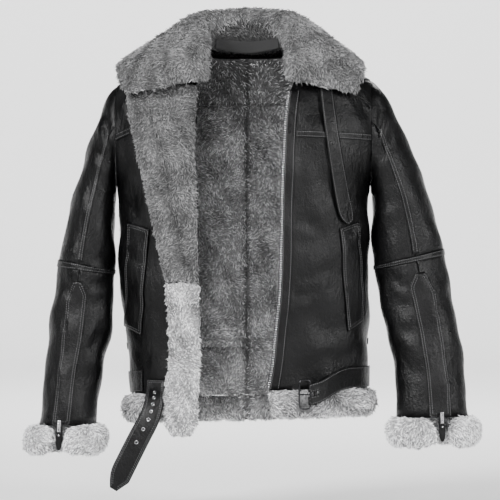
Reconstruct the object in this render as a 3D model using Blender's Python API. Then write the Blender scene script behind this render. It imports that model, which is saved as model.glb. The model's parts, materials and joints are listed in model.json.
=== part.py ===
"""Aviator jacket of black leather with grey pile inside, filled out and open in front.

Metres, +Z up. The front faces -Y, and the wearer's left is +X. The origin lies between the shoulders,
at the height of the shoulder neck points, where a wearer holds the jacket up.
"""
import math
from collections import namedtuple

import bmesh
import bpy
import numpy as np
from mathutils import Matrix, Vector

NAME = "aviator_jacket"
LEFT, RIGHT = 1, -1
SIDES = {"left": LEFT, "right": RIGHT}

SEAM = 0.00025  # half of the gap between two sewn pieces
SEAT = 0.0004  # gap between a piece and the one it lies on
BODY_WALL = 0.010  # leather with its pile
SLEEVE_WALL = 0.008
TAPE_WALL = 0.0012
STRAP_WALL = 0.0026
BODY_ROUND = 2.4  # power of the body's flattened ovals
SLEEVE_ROUND = 2.15
FINE = 1e-4  # step for slopes, in metres or in radians
WELD = 2e-5
SHARP = math.radians(50)

# Levels of the body, from the hem to the neck
HEM, ARMPIT, YOKE, NECK = -0.610, -0.235, -0.150, 0.018
BACK_YOKE, BACK_BAND = -0.080, -0.523
YOKE_LIFT = {LEFT: 0.006, RIGHT: 0.045}  # the front yoke seam rises toward the front edge
NECK_DIP = 0.010  # the back neck lies lower in the middle
SHOULDER = {LEFT: -0.040, RIGHT: -0.052}
ARMHOLE = {LEFT: 0.2275, RIGHT: 0.2405}

# Half widths and depths of the body at each level
Section = namedtuple("Section", "z right left front back")
TORSO = (
    Section(-0.700, 0.2150, 0.2220, 0.115, 0.124),
    Section(-0.612, 0.2165, 0.2235, 0.118, 0.122),
    Section(-0.560, 0.2185, 0.2245, 0.121, 0.121),
    Section(-0.505, 0.2240, 0.2262, 0.124, 0.119),
    Section(-0.460, 0.2345, 0.2270, 0.128, 0.118),
    Section(-0.390, 0.2378, 0.2272, 0.132, 0.120),
    Section(-0.300, 0.2385, 0.2262, 0.135, 0.126),
    Section(-0.235, 0.2405, 0.2275, 0.136, 0.132),
    Section(-0.185, 0.2610, 0.2480, 0.134, 0.136),
    Section(-0.130, 0.2685, 0.2555, 0.126, 0.136),
    Section(-0.085, 0.2600, 0.2480, 0.110, 0.128),
    Section(-0.052, 0.2405, 0.2345, 0.094, 0.116),
    Section(-0.040, 0.2250, 0.2275, 0.088, 0.110),
    Section(-0.022, 0.1900, 0.1920, 0.079, 0.101),
    Section(0.000, 0.1430, 0.1420, 0.068, 0.090),
    Section(0.012, 0.1080, 0.1070, 0.061, 0.083),
    Section(0.022, 0.0830, 0.0820, 0.056, 0.077),
    Section(0.030, 0.0690, 0.0680, 0.052, 0.072),
)

# How far the front edges stand from the middle, at each level
EdgeRow = namedtuple("EdgeRow", "z x")
FRONT_EDGE = {
    LEFT: (
        EdgeRow(-0.605, 0.0400),
        EdgeRow(-0.572, 0.0470),
        EdgeRow(-0.508, 0.0530),
        EdgeRow(-0.445, 0.0600),
        EdgeRow(-0.265, 0.0650),
        EdgeRow(-0.138, 0.0705),
        EdgeRow(-0.092, 0.0745),
        EdgeRow(-0.062, 0.0800),
        EdgeRow(-0.046, 0.0880),
        EdgeRow(0.018, 0.0885),
    ),
    RIGHT: (
        EdgeRow(-0.626, 0.0955),
        EdgeRow(-0.355, 0.0970),
        EdgeRow(-0.175, 0.0995),
        EdgeRow(-0.060, 0.1010),
        EdgeRow(0.018, 0.0885),
    ),
}

# The turned-back front: its free edge, and the seam of the strip along that edge
TurnedRow = namedtuple("TurnedRow", "z seam free")
TURNED_BACK = (
    TurnedRow(-0.700, 0.1010, 0.1385),
    TurnedRow(-0.412, 0.1010, 0.1455),
    TurnedRow(-0.382, 0.1060, 0.1500),
    TurnedRow(-0.292, 0.1210, 0.1700),
    TurnedRow(-0.229, 0.1380, 0.1830),
    TurnedRow(-0.175, 0.1565, 0.1970),
    TurnedRow(-0.124, 0.1730, 0.2120),
    TurnedRow(-0.060, 0.1850, 0.2140),
)
TURN_SPLIT = -0.412  # the lower strip starts here
FOLD_GAP = 0.0027  # between the two leather faces of the turned-back front
FOLD_STEPS = 4
TURNED_TOP = -0.052  # the collar covers the turned-back front above this
STRIP_END = -0.686
STRIP_WALL = 0.012
STRIP_ROUND, STRIP_ROUND_PART = 0.012, 0.08  # its rounded end, and the part of its length that takes
HEM_LIFT = 0.0195  # what hangs over the hem's pile stands off by this
HEM_LIFT_START, HEM_LIFT_RUN = -0.560, 0.045  # from this level, over this height

# Sleeve sections: the inner and outer end of each, its middle's shift in Y and its half depth
Ring = namedtuple("Ring", "inner_x inner_z outer_x outer_z shift depth")
SLEEVE = {
    LEFT: (
        Ring(0.2275, -0.235, 0.2275, -0.040, 0.003, 0.072),
        Ring(0.2288, -0.243, 0.2420, -0.044, 0.002, 0.072),
        Ring(0.2292, -0.252, 0.2550, -0.058, 0.001, 0.072),
        Ring(0.2292, -0.263, 0.2690, -0.088, 0.000, 0.071),
        Ring(0.2292, -0.277, 0.2830, -0.124, 0.000, 0.070),
        Ring(0.2292, -0.293, 0.3016, -0.159, -0.001, 0.070),
        Ring(0.2292, -0.311, 0.3200, -0.200, -0.002, 0.069),
        Ring(0.2292, -0.331, 0.3370, -0.244, -0.003, 0.067),
        Ring(0.2294, -0.353, 0.3500, -0.285, -0.004, 0.065),
        Ring(0.2300, -0.372, 0.3600, -0.323, -0.006, 0.063),
        Ring(0.2310, -0.388, 0.3650, -0.358, -0.008, 0.061),
        Ring(0.2355, -0.420, 0.3735, -0.400, -0.012, 0.058),
        Ring(0.2450, -0.462, 0.3830, -0.448, -0.018, 0.056),
        Ring(0.2560, -0.505, 0.3905, -0.495, -0.024, 0.054),
        Ring(0.2640, -0.550, 0.3980, -0.543, -0.030, 0.053),
        Ring(0.2700, -0.600, 0.4045, -0.596, -0.037, 0.052),
        Ring(0.2728, -0.660, 0.4075, -0.658, -0.045, 0.051),
    ),
    RIGHT: (
        Ring(0.2405, -0.235, 0.2405, -0.052, 0.003, 0.074),
        Ring(0.2417, -0.244, 0.2510, -0.055, 0.002, 0.074),
        Ring(0.2421, -0.254, 0.2610, -0.071, 0.001, 0.074),
        Ring(0.2421, -0.266, 0.2720, -0.0997, 0.000, 0.074),
        Ring(0.2421, -0.281, 0.2850, -0.133, 0.000, 0.074),
        Ring(0.2421, -0.298, 0.2975, -0.170, -0.001, 0.074),
        Ring(0.2421, -0.317, 0.3095, -0.208, -0.002, 0.074),
        Ring(0.2421, -0.337, 0.3230, -0.252, -0.003, 0.074),
        Ring(0.2421, -0.358, 0.3345, -0.293, -0.005, 0.073),
        Ring(0.2421, -0.378, 0.3425, -0.335, -0.007, 0.072),
        Ring(0.2421, -0.396, 0.3500, -0.379, -0.010, 0.070),
        Ring(0.2419, -0.430, 0.3555, -0.420, -0.014, 0.066),
        Ring(0.2425, -0.470, 0.3635, -0.465, -0.019, 0.063),
        Ring(0.2490, -0.520, 0.3690, -0.5185, -0.025, 0.061),
        Ring(0.2610, -0.565, 0.3730, -0.566, -0.031, 0.060),
        Ring(0.2695, -0.618, 0.3765, -0.620, -0.038, 0.059),
        Ring(0.2729, -0.672, 0.3845, -0.674, -0.046, 0.057),
    ),
}
RING_SEAM, RING_TAPE = 0.008, 0.30  # as parts of the step between two sections
TAPE_HALF, TAPE_SEAT = math.radians(5), 0.0008
SEAM_ANGLE = 0.009  # the half gap of a sleeve seam as an angle

# The cuff's zip lies at an angle in front; its leather piece and the parting of the pile are round it
ZIP_ANGLE = math.radians(80)
PLACKET_TOP, PLACKET_HALF, PLACKET_ROUND, PLACKET_TIP = 10.7, math.radians(17), 0.10, 0.85
CUFF_GAP, CUFF_END_ROUND, CUFF_END_PART = math.radians(9.2), 0.5, 1 / 30
CUFF_END = (0.004, 0.030)  # the middle of the roll's rounded ends: out of the leather, below its edge

# Sections of the pile rolls: how far each point stands out of the leather's face, and how far below
# its edge it lies
RollRow = namedtuple("RollRow", "out drop")
CUFF_SECTION = (
    RollRow(-0.0100, 0.0006),
    RollRow(0.0030, 0.0006),
    RollRow(0.0150, 0.0050),
    RollRow(0.0215, 0.0170),
    RollRow(0.0220, 0.0340),
    RollRow(0.0170, 0.0480),
    RollRow(0.0060, 0.0570),
    RollRow(-0.0060, 0.0560),
    RollRow(-0.0120, 0.0450),
    RollRow(-0.0130, 0.0200),
)
HEM_SECTION = (
    RollRow(-0.0120, 0.0000),
    RollRow(0.0020, 0.0000),
    RollRow(0.0110, 0.0040),
    RollRow(0.0160, 0.0140),
    RollRow(0.0170, 0.0280),
    RollRow(0.0130, 0.0410),
    RollRow(0.0040, 0.0500),
    RollRow(-0.0060, 0.0500),
    RollRow(-0.0130, 0.0400),
    RollRow(-0.0150, 0.0200),
)
HEM_START, HEM_END = 0.004, 0.0016  # the rolls' ends, as parts of the way across

# The collar from the front end to the middle of the back, on the wearer's left. Its middle surface runs
# from the base at the neck up to the roll, then out over the fall to the free edge. Where the
# turned-back front lies under it, the wearer's right side stands further out.
CollarRow = namedtuple(
    "CollarRow",
    "base_x base_y base_z roll_x roll_y roll_z fall_x fall_y fall_z edge_x edge_y edge_z right_out",
)
COLLAR = (
    CollarRow(
        0.0775, -0.074, -0.044, 0.088, -0.106, -0.051, 0.145, -0.105, -0.063, 0.198, -0.0905, -0.075, 0.023
    ),
    CollarRow(
        0.0778, -0.060, -0.015, 0.085, -0.085, -0.002, 0.150, -0.068, -0.006, 0.214, -0.0635, -0.041, 0.012
    ),
    CollarRow(0.0785, -0.028, 0.008, 0.086, -0.043, 0.048, 0.150, -0.022, 0.024, 0.217, -0.014, -0.020, 0),
    CollarRow(0.080, 0.010, 0.0205, 0.092, 0.014, 0.075, 0.150, 0.022, 0.032, 0.211, 0.024, -0.018, 0),
    CollarRow(0.060, 0.053, 0.0175, 0.069, 0.073, 0.092, 0.106, 0.092, 0.048, 0.138, 0.092, -0.006, 0),
    CollarRow(0.000, 0.0755, 0.0095, 0.000, 0.093, 0.1010, 0.000, 0.117, 0.048, 0.000, 0.1135, -0.012, 0),
)
COLLAR_HALF = (0.0065, 0.0095, 0.0100, 0.0100, 0.0070)  # half thickness from base to edge
STAND_SHARE, STAND_IN = 0.52, 0.005  # where the stand stands between base and roll, and its lean inward
COLLAR_RIGHT_WIDER = 0.11  # how much wider the wearer's right side of the fall is at its free edge
COLLAR_END_THIN, COLLAR_END_RUN = 0.7, 0.4  # its front ends' thickness, reached over this many stations
COLLAR_COLUMNS = 26
PATCH_COLUMNS, PATCH_SEAT = 6, 0.0010  # the bare patch inside the back of the neck
PATCH_RISE = (0.05, 0.52)
PATCH_WIDE = (len(COLLAR) - 1) * PATCH_COLUMNS / COLLAR_COLUMNS

# What lies on the body: half widths of the tapes, and the pockets' and straps' places
TAPE_LEVELS = 0.006
CENTRE_TAPE_ACROSS = 0.008
ZIP_STRIP, ZIP_STRIP_WALL = 0.018, 0.0015
HIDDEN_ZIP_SEAT = 0.0006
HIDDEN_ZIP = (0.014, 0.001)  # the other zip strip, in from the turned-back edge

Corner = namedtuple("Corner", "x z")
POCKET = (Corner(0.1684, -0.317), Corner(0.2050, -0.304), Corner(0.2145, -0.486), Corner(0.1829, -0.505))
POCKET_SEAT, POCKET_WALL = 0.0012, 0.0022

StrapRow = namedtuple("StrapRow", "x z half")
THROAT_STRAP = (
    StrapRow(0.1430, -0.060, 0.0108),
    StrapRow(0.1455, -0.085, 0.0110),
    StrapRow(0.1540, -0.160, 0.0118),
    StrapRow(0.1690, -0.250, 0.0128),
    StrapRow(0.1780, -0.294, 0.0122),
    StrapRow(0.1812, -0.3085, 0.0030),
)
THROAT_LIFT = 0.0032

# The waist straps run along the hem from the side seams
WAIST_LEVEL, WAIST_HALF = -0.5870, 0.0190
WAIST_RIGHT_END = 0.1900
WAIST_LEFT_FREE = 0.2000  # the left strap leaves the leather here, to lie over the hem's pile
BAR_X, BAR_HEIGHT = 0.1090, 0.0275  # where the buckle's bar lies, and how far off the leather
BAR_DROP = 0.028  # how far below the strap's level
BAR_RADIUS, BAR_GAP = 0.0017, 0.0003
LOOP_BACK = 0.012  # how far the strap returns behind the bar
FRAME_WIDE, FRAME_TALL, FRAME_CORNER = 0.0215, 0.0530, 0.006
PRONG_RADIUS = 0.0012

# The strap that hangs from the right waist: its middle, and how far its width has turned to one side
HangRow = namedtuple("HangRow", "x y z lean turned")
HANGING = (
    HangRow(-0.1662, -0.0918, -0.590, 0, 34),
    HangRow(-0.1665, -0.0990, -0.606, 0, 34),
    HangRow(-0.1672, -0.1130, -0.620, 2, 33),
    HangRow(-0.1700, -0.1240, -0.638, 8, 30),
    HangRow(-0.1770, -0.1290, -0.660, 18, 22),
    HangRow(-0.1930, -0.1290, -0.690, 27, 14),
    HangRow(-0.2170, -0.1260, -0.738, 29, 6),
    HangRow(-0.2415, -0.1220, -0.787, 30, 2),
)
HANG_HALF, HANG_TIP, HANG_TIP_PART = 0.0200, 0.35, 0.045  # half width, share left at the bevelled tip
EYELETS = 7
EYELET_FIRST, EYELET_STEP, EYELET_RING, EYELET_WIRE = 1.55, 0.62, 0.0032, 0.0008
EYELET_SEAT, EYELET_POINTS = 0.0005, 8
STRAP_OUT, STRAP_BEND, STRAP_BACK = 14, 6, 2  # columns of the left strap: outward face, loop, return
STRAP_COLUMNS = STRAP_OUT + STRAP_BEND + STRAP_BACK
SLOT_HALF = 0.1  # the slot for the prong, as a part of the strap's width
PRONG_OPEN, PRONG_STEPS = 60, 9

# Width, depth and height of a cuff zip's slider and of its pull tab
SLIDER, SLIDER_OUT, SLIDER_UP = (0.0070, 0.0040, 0.0110), 0.0046, 0.08
PULL, PULL_GAP = (0.0115, 0.0026, 0.0480), 0.0004
BLOCK_BEVEL = 0.2  # of a small block's least size
EDGE_TOP = -0.066  # the collar covers the front edges above this

# Colour, roughness and metallic value of each kind of material
LOOKS = {
    "leather": ((0.012, 0.012, 0.013), 0.35),
    "pile": ((0.36, 0.36, 0.37), 0.95),
    "metal": ((0.62, 0.62, 0.63), 0.25, 1.0),
}
ELBOW_RING, CUFF_RING = 10, 16
HEAD_BLEND = 3  # the first rings ease from the armhole's outline to ovals
SLEEVE_SEAM = math.radians(81)  # how far the two long seams stand from the outer edge


class Track:
    """A smooth line through the rows of a table, level beyond its ends."""

    def __init__(self, keys, rows):
        self.keys = np.array(keys, float)
        self.rows = np.array(rows, float)
        self.slopes = np.gradient(self.rows, self.keys, axis=0)

    def __call__(self, key):
        key = min(max(key, self.keys[0]), self.keys[-1])
        low = min(int(np.searchsorted(self.keys, key, "right")) - 1, len(self.keys) - 2)
        gap = self.keys[low + 1] - self.keys[low]
        t = (key - self.keys[low]) / gap
        start, end = self.rows[low], self.rows[low + 1]
        leave, reach = self.slopes[low] * gap, self.slopes[low + 1] * gap
        return (
            start * (2 * t**3 - 3 * t**2 + 1)
            + leave * (t**3 - 2 * t**2 + t)
            + end * (3 * t**2 - 2 * t**3)
            + reach * (t**3 - t**2)
        )


def track(table):
    """A table whose first column is the key."""
    return Track([row[0] for row in table], [row[1:] for row in table])


def closed_track(section):
    """A roll's section as a line that ends where it starts, read by side number."""
    rows = [*section, section[0]]
    return Track(range(len(rows)), rows)


CUFF_ROLL, CUFF_SIDES = closed_track(CUFF_SECTION), len(CUFF_SECTION)
HEM_ROLL, HEM_SIDES = closed_track(HEM_SECTION), len(HEM_SECTION)
BODY_TRACK = track(TORSO)
EDGE_TRACK = {side: track(table) for side, table in FRONT_EDGE.items()}
TURNED_TRACK = track(TURNED_BACK)
SLEEVE_TRACK = {side: Track(range(len(table)), table) for side, table in SLEEVE.items()}


def power(share, roundness):
    """One coordinate of a flattened oval, from a sine or cosine."""
    return math.copysign(abs(share) ** (2 / roundness), share)


def mix(start, end, share):
    return start + (end - start) * share


def ease(share):
    """0 to 1 with soft ends."""
    share = min(max(share, 0.0), 1.0)
    return share * share * (3 - 2 * share)


# The body's form: a turn is measured from the middle front, positive to the wearer's left


def half_width(z, side):
    return BODY_TRACK(z)[1 if side > 0 else 0]


def body_point(z, turn):
    right, left, front, back = BODY_TRACK(z)
    across, along = math.sin(turn), math.cos(turn)
    x = power(across, BODY_ROUND) * (left if across > 0 else right)
    y = -power(along, BODY_ROUND) * (front if along > 0 else back)
    return Vector((x, y, z))


def body_normal(point):
    z = point.z
    sizes = BODY_TRACK(z)
    slopes = (BODY_TRACK(z + FINE) - BODY_TRACK(z - FINE)) / (2 * FINE)
    column = 1 if point.x > 0 else 0
    row = 2 if point.y < 0 else 3
    across = abs(point.x / sizes[column])
    along = abs(point.y / sizes[row])
    lean = (
        across**BODY_ROUND * slopes[column] / sizes[column]
        + along**BODY_ROUND * slopes[row] / sizes[row]
    )
    return Vector((
        math.copysign(across ** (BODY_ROUND - 1) / sizes[column], point.x),
        math.copysign(along ** (BODY_ROUND - 1) / sizes[row], point.y),
        -lean,
    )).normalized()


def turn_at(x, z, side):
    """How far round, from the middle, the form reaches a distance x to one side."""
    share = min(x / half_width(z, side), 1.0)
    return math.asin(share ** (BODY_ROUND / 2))


def side_turn(level, side):
    """The turn at the side seam, or at the armhole where there is one."""
    if ARMPIT < level < SHOULDER[side]:
        return turn_at(ARMHOLE[side] - SEAM, level, side)
    return math.pi / 2


def hem_drop(turn, side):
    """The hem is lower behind, and a little lower at the wearer's right."""
    behind = 0.5 - 0.5 * math.cos(turn)
    return -0.018 * behind**1.5 + 0.006 * side * math.sin(turn)


def edge_turn(side, level):
    return turn_at(EDGE_TRACK[side](level)[0], level, side)


def front_place(side, across, level):
    """A point of the front, from its edge (0) to the side seam (1), and the way out of it."""
    turn = mix(edge_turn(side, level), side_turn(level, side), across)
    lifts = (hem_drop(turn, side), 0.0, YOKE_LIFT[side] * (1 - across), 0.0)
    z = level + np.interp(level, (HEM, ARMPIT, YOKE, SHOULDER[side]), lifts)
    point = body_point(z, side * turn)
    return point, body_normal(point)


def back_place(side, across, level):
    """A point of the back, from the middle (0) to the side seam (1), and the way out of it."""
    turn = mix(math.pi, math.pi - side_turn(level, side), across)
    neck_dip = -NECK_DIP * math.cos(math.pi / 2 * across) ** 2
    lifts = (hem_drop(turn, side), 0.0, 0.0, neck_dip)
    z = level + np.interp(level, (HEM, ARMPIT, SHOULDER[RIGHT], NECK), lifts)
    point = body_point(z, side * turn)
    return point, body_normal(point)


def across_at(side, x, level):
    """How far across its front a distance x from the middle lies."""
    start = edge_turn(side, level)
    return (turn_at(x, level, side) - start) / (side_turn(level, side) - start)


def on_front(side, x, level):
    return front_place(side, across_at(side, x, level), level)


# The sleeves: an angle is measured round a section from its outer end, positive in front


def armhole_point(side, angle):
    bottom, top = ARMPIT, SHOULDER[side]
    z = (bottom + top) / 2 + (top - bottom) / 2 * math.cos(angle)
    share = min(ARMHOLE[side] / half_width(z, side), 1.0)
    opening = (1 - share**BODY_ROUND) ** (1 / BODY_ROUND)
    front, back = BODY_TRACK(z)[2:]
    y = -front * opening if math.sin(angle) > 0 else back * opening
    return Vector((side * (ARMHOLE[side] + SEAM), y, z))


def sleeve_point(side, along, angle):
    inner_x, inner_z, outer_x, outer_z, shift, depth = SLEEVE_TRACK[side](along)
    reach = power(math.cos(angle), SLEEVE_ROUND) / 2
    point = Vector((
        side * ((inner_x + outer_x) / 2 + (outer_x - inner_x) * reach),
        shift - depth * power(math.sin(angle), SLEEVE_ROUND),
        (inner_z + outer_z) / 2 + (outer_z - inner_z) * reach,
    ))
    return armhole_point(side, angle).lerp(point, ease(along / HEAD_BLEND))


def sleeve_place(side, along, angle):
    """A point of a sleeve and the way out of it."""
    point = sleeve_point(side, along, angle)
    low, high = max(along - FINE, 0), min(along + FINE, CUFF_RING)
    down = sleeve_point(side, high, angle) - sleeve_point(side, low, angle)
    round_it = sleeve_point(side, along, angle + FINE) - sleeve_point(side, along, angle - FINE)
    return point, side * round_it.cross(down).normalized()


# Making solids


def material(name, colour, roughness, metallic=0.0):
    made = bpy.data.materials.new(name)
    made.use_nodes = True
    surface = made.node_tree.nodes["Principled BSDF"]
    surface.inputs["Base Color"].default_value = (*colour, 1.0)
    surface.inputs["Roughness"].default_value = roughness
    surface.inputs["Metallic"].default_value = metallic
    return made


def finish(name, mesh, look):
    """Turn a bmesh into a named object of the jacket."""
    bmesh.ops.recalc_face_normals(mesh, faces=mesh.faces)
    data = bpy.data.meshes.new(name)
    mesh.to_mesh(data)
    mesh.free()
    data.shade_smooth()
    data.set_sharp_from_angle(angle=SHARP)
    made = bpy.data.objects.new(name, data)
    data.materials.append(material(name, *LOOKS[look]))
    bpy.data.collections[NAME].objects.link(made)
    return made


def wall(name, patches, look, cut=None):
    """A closed wall from grids; each patch is columns, rows and a rule giving its two faces' points."""
    mesh = bmesh.new()
    layer = mesh.verts.layers.float_vector.new("far")
    for columns, rows, rule in patches:
        grid = bmesh.ops.create_grid(mesh, x_segments=columns, y_segments=rows, size=0.5)["verts"]
        if cut:
            faces = {face for vert in grid for face in vert.link_faces}
            gone = [face for face in faces if cut(*(face.calc_center_median().xy + Vector((0.5, 0.5))))]
            bmesh.ops.delete(mesh, geom=gone, context="FACES")
        for vert in grid:
            if vert.is_valid:
                vert.co, vert[layer] = rule(vert.co.x + 0.5, vert.co.y + 0.5)
    bmesh.ops.remove_doubles(mesh, verts=mesh.verts, dist=WELD)
    grown = bmesh.ops.extrude_face_region(mesh, geom=mesh.faces[:], use_keep_orig=True)
    for vert in grown["geom"]:
        if isinstance(vert, bmesh.types.BMVert):
            vert.co = vert[layer]
    return finish(name, mesh, look)


def roll(name, columns, rows, rule, look):
    """A closed solid along a route: rows go round it, columns along it, and its ends are capped."""
    mesh = bmesh.new()
    grid = bmesh.ops.create_grid(mesh, x_segments=columns, y_segments=rows, size=0.5)["verts"]
    for vert in grid:
        vert.co = rule(vert.co.x + 0.5, vert.co.y + 0.5)
    bmesh.ops.remove_doubles(mesh, verts=mesh.verts, dist=WELD)
    bmesh.ops.holes_fill(mesh, edges=[edge for edge in mesh.edges if edge.is_boundary])
    bmesh.ops.triangulate(mesh, faces=[face for face in mesh.faces if len(face.verts) > 4])
    return finish(name, mesh, look)


def moved(place, edges):
    """A rule's points with its borders moved by small steps, to part it from its neighbours."""

    def rule(u, v):
        point, out = place(u, v)
        reached = {"start": u < FINE, "end": u > 1 - FINE, "bottom": v < FINE, "top": v > 1 - FINE}
        for border, step in edges.items():
            if reached[border]:
                point = point + Vector(step)
        return point, out

    return rule


def thick(place, near, far):
    """The two faces of a wall, at two heights over a surface."""

    def rule(u, v):
        point, out = place(u, v)
        return point + out * near, point + out * far

    return rule


def rows_between(*stops):
    """Levels from stop to stop; each stop after the first has a count and may bunch its rows."""
    levels = [stops[0]]
    for stop, count, bunch in stops[1:]:
        start = levels[-1]
        for step in range(1, count + 1):
            share = step / count
            if bunch == "start":
                share = 1 - math.cos(share * math.pi / 2)
            elif bunch == "end":
                share = math.sin(share * math.pi / 2)
            levels.append(mix(start, stop, share))
    return levels


def level_at(levels, v):
    return float(np.interp(v * (len(levels) - 1), range(len(levels)), levels))


# The body


def front_rows():
    """Levels of the front panel and of the yoke over it, shared by every layer of the front."""
    return rows_between(HEM + SEAM, (TURN_SPLIT, 5, ""), (ARMPIT, 4, ""), (YOKE - SEAM, 4, "start"))


def yoke_rows(side, top):
    return rows_between(YOKE + SEAM, (SHOULDER[side], 5, "end"), (top, 4, ""))


def front_patch(side, levels, columns):
    def place(u, v):
        return front_place(side, u, level_at(levels, v))

    sewn = moved(place, {"end": (0, -SEAM, 0)})
    return columns, len(levels) - 1, thick(sewn, 0, -BODY_WALL)


def turned_patch(levels, columns):
    """The part of the right front that runs round the fold and lies back on the front."""
    inner, outer = FOLD_GAP / 2, FOLD_GAP / 2 + BODY_WALL

    def rule(u, v):
        level, column = level_at(levels, v), u * columns
        if column <= FOLD_STEPS + FINE:
            start, out = front_place(RIGHT, 0.0, level)
            ahead = (start - front_place(RIGHT, 0.01, level)[0]).normalized()
            middle = start + out * inner
            bend = math.pi * column / FOLD_STEPS
            spoke = ahead * math.sin(bend) - out * math.cos(bend)
            return middle + spoke * inner, middle + spoke * outer
        seam = across_at(RIGHT, TURNED_TRACK(level)[0] - SEAM, level)
        share = (column - FOLD_STEPS) / (columns - FOLD_STEPS)
        point, out = front_place(RIGHT, seam * share, level)
        return point + out * FOLD_GAP, point + out * (FOLD_GAP + BODY_WALL)

    return columns, len(levels) - 1, rule


def fronts():
    levels = front_rows()
    wall("front_panel_left", [front_patch(LEFT, levels, 14)], "leather")
    turned = [level for level in levels if level > TURN_SPLIT - FINE]
    wall("front_panel_right", [front_patch(RIGHT, levels, 14), turned_patch(turned, 9)], "leather")
    for name, side in SIDES.items():
        levels = yoke_rows(side, NECK)
        patches = [front_patch(side, levels, 14)]
        if side == RIGHT:
            patches.append(turned_patch([level for level in levels if level < TURNED_TOP], 10))
        wall(f"front_yoke_{name}", patches, "leather")


def facing():
    """The strip along the turned-back edge, and the longer strip under it down to below the hem."""
    levels = [level for level in front_rows() if level > TURN_SPLIT - FINE]
    levels += [level for level in yoke_rows(RIGHT, NECK) if level < TURNED_TOP][1:]

    def upper(u, v):
        level = level_at(levels, v)
        seam, free = TURNED_TRACK(level)
        return on_front(RIGHT, mix(seam + SEAM, free, u), level)

    far = FOLD_GAP + BODY_WALL
    wall("facing_right_upper", [(3, len(levels) - 1, thick(upper, FOLD_GAP, far))], "pile")

    def lower(u, v):
        level = mix(STRIP_END, TURN_SPLIT - 2 * SEAM, v)
        rounded = STRIP_ROUND * (1 - math.sqrt(1 - max(0.0, 1 - v / STRIP_ROUND_PART) ** 2))
        start = EDGE_TRACK[RIGHT](level)[0] - BODY_WALL + rounded
        x = mix(start, TURNED_TRACK(level)[1] - rounded, u)
        point, out = on_front(RIGHT, x, level)
        lift = SEAT + HEM_LIFT * ease((HEM_LIFT_START - level) / HEM_LIFT_RUN)
        return point + out * lift, point + out * (lift + STRIP_WALL)

    wall("facing_right_lower", [(4, 16, lower)], "pile")


def yoke_levels(side):
    return rows_between(BACK_YOKE + SEAM, (SHOULDER[side], 3, "end"), (NECK, 4, ""))


def backs():
    cut = {"end": (0, SEAM, 0)}
    lower = rows_between(HEM + SEAM, (BACK_BAND - SEAM, 2, ""))
    panel_stops = (TURN_SPLIT, 3, ""), (ARMPIT, 4, ""), (BACK_YOKE - SEAM, 6, "start")
    middle = rows_between(BACK_BAND + SEAM, *panel_stops)
    for name, side in SIDES.items():
        parted = {**cut, "start": (side * SEAM, 0, 0)}
        for part, levels in (("band", lower), ("panel", middle)):

            def place(u, v, levels=levels, side=side):
                return back_place(side, u, level_at(levels, v))

            rule = thick(moved(place, parted), 0, -BODY_WALL)
            wall(f"back_{part}_{name}", [(12, len(levels) - 1, rule)], "leather")
    patches = []
    levels = {side: yoke_levels(side) for side in SIDES.values()}
    for side in SIDES.values():

        def place(u, v, side=side):
            middle = (level_at(levels[LEFT], v) + level_at(levels[RIGHT], v)) / 2
            return back_place(side, u, mix(middle, level_at(levels[side], v), u))

        patches.append((12, len(levels[side]) - 1, thick(moved(place, cut), 0, -BODY_WALL)))
    wall("back_yoke", patches, "leather")


def hem_fur():
    """Rolls of pile under the hem, one under each front and one under the back."""
    pieces = {
        "left_front": (LEFT, front_place),
        "right_front": (RIGHT, front_place),
        "back": (None, back_place),
    }
    for name, (side, place) in pieces.items():

        def rule(u, v, side=side, place=place):
            if side is None:
                way = LEFT if u > 0.5 else RIGHT
                point, out = place(way, abs(2 * u - 1) * (1 - HEM_END), HEM - SEAM)
            else:
                point, out = place(side, mix(HEM_START, 1 - HEM_END, u), HEM - SEAM)
            out.z = 0
            reach, drop = HEM_ROLL(v * HEM_SIDES)
            return point + out.normalized() * reach - Vector((0, 0, drop))

        columns = 20 if side is None else 10
        roll(f"hem_fur_{name}", columns, HEM_SIDES, rule, "pile")


# The sleeves


def sleeve_patch(side, rows, start, end, columns, near, far, inset=SEAM_ANGLE):
    """A stretch of sleeve between two angles, along a list of section numbers."""

    def place(u, v):
        return sleeve_place(side, level_at(rows, v), mix(start + inset, end - inset, u))

    return columns, len(rows) - 1, thick(place, near, far)


def sleeves():
    upper = [0, 0.5, 1, 1.5, 2, 3, 4, 5.5, 7, 8.5, ELBOW_RING - RING_SEAM]
    lower = [ELBOW_RING + RING_SEAM, 11, 12, 13, 14, 15, CUFF_RING]
    for name, side in SIDES.items():
        for part, rows in (("sleeve", upper), ("forearm", lower)):
            front, back = SLEEVE_SEAM, math.tau - SLEEVE_SEAM
            outer = sleeve_patch(side, rows, -front, front, 8, 0, -SLEEVE_WALL)
            inner = sleeve_patch(side, rows, front, back, 10, 0, -SLEEVE_WALL)
            wall(f"{part}_outer_{name}", [outer], "leather")
            wall(f"{part}_inner_{name}", [inner], "leather")
        half = TAPE_HALF
        for end, angle in (("front", SLEEVE_SEAM), ("back", -SLEEVE_SEAM)):
            rows = [2.2, 3, 4, 5, 6, 7, 8, 9, ELBOW_RING - RING_TAPE]
            over = TAPE_SEAT, TAPE_SEAT + TAPE_WALL
            patch = sleeve_patch(side, rows, angle - half, angle + half, 1, *over)
            wall(f"seam_tape_{end}_{name}", [patch], "leather")
        rows = [ELBOW_RING - RING_TAPE / 2, ELBOW_RING + RING_TAPE / 2]
        front, back = SLEEVE_SEAM, math.tau - SLEEVE_SEAM
        halves = [
            sleeve_patch(side, rows, start, end, columns, SEAT, SEAT + TAPE_WALL, inset=0.0)
            for start, end, columns in ((-front, front, 8), (front, back, 10))
        ]
        wall(f"elbow_tape_{name}", halves, "leather")
        cuff(name, side)


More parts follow.
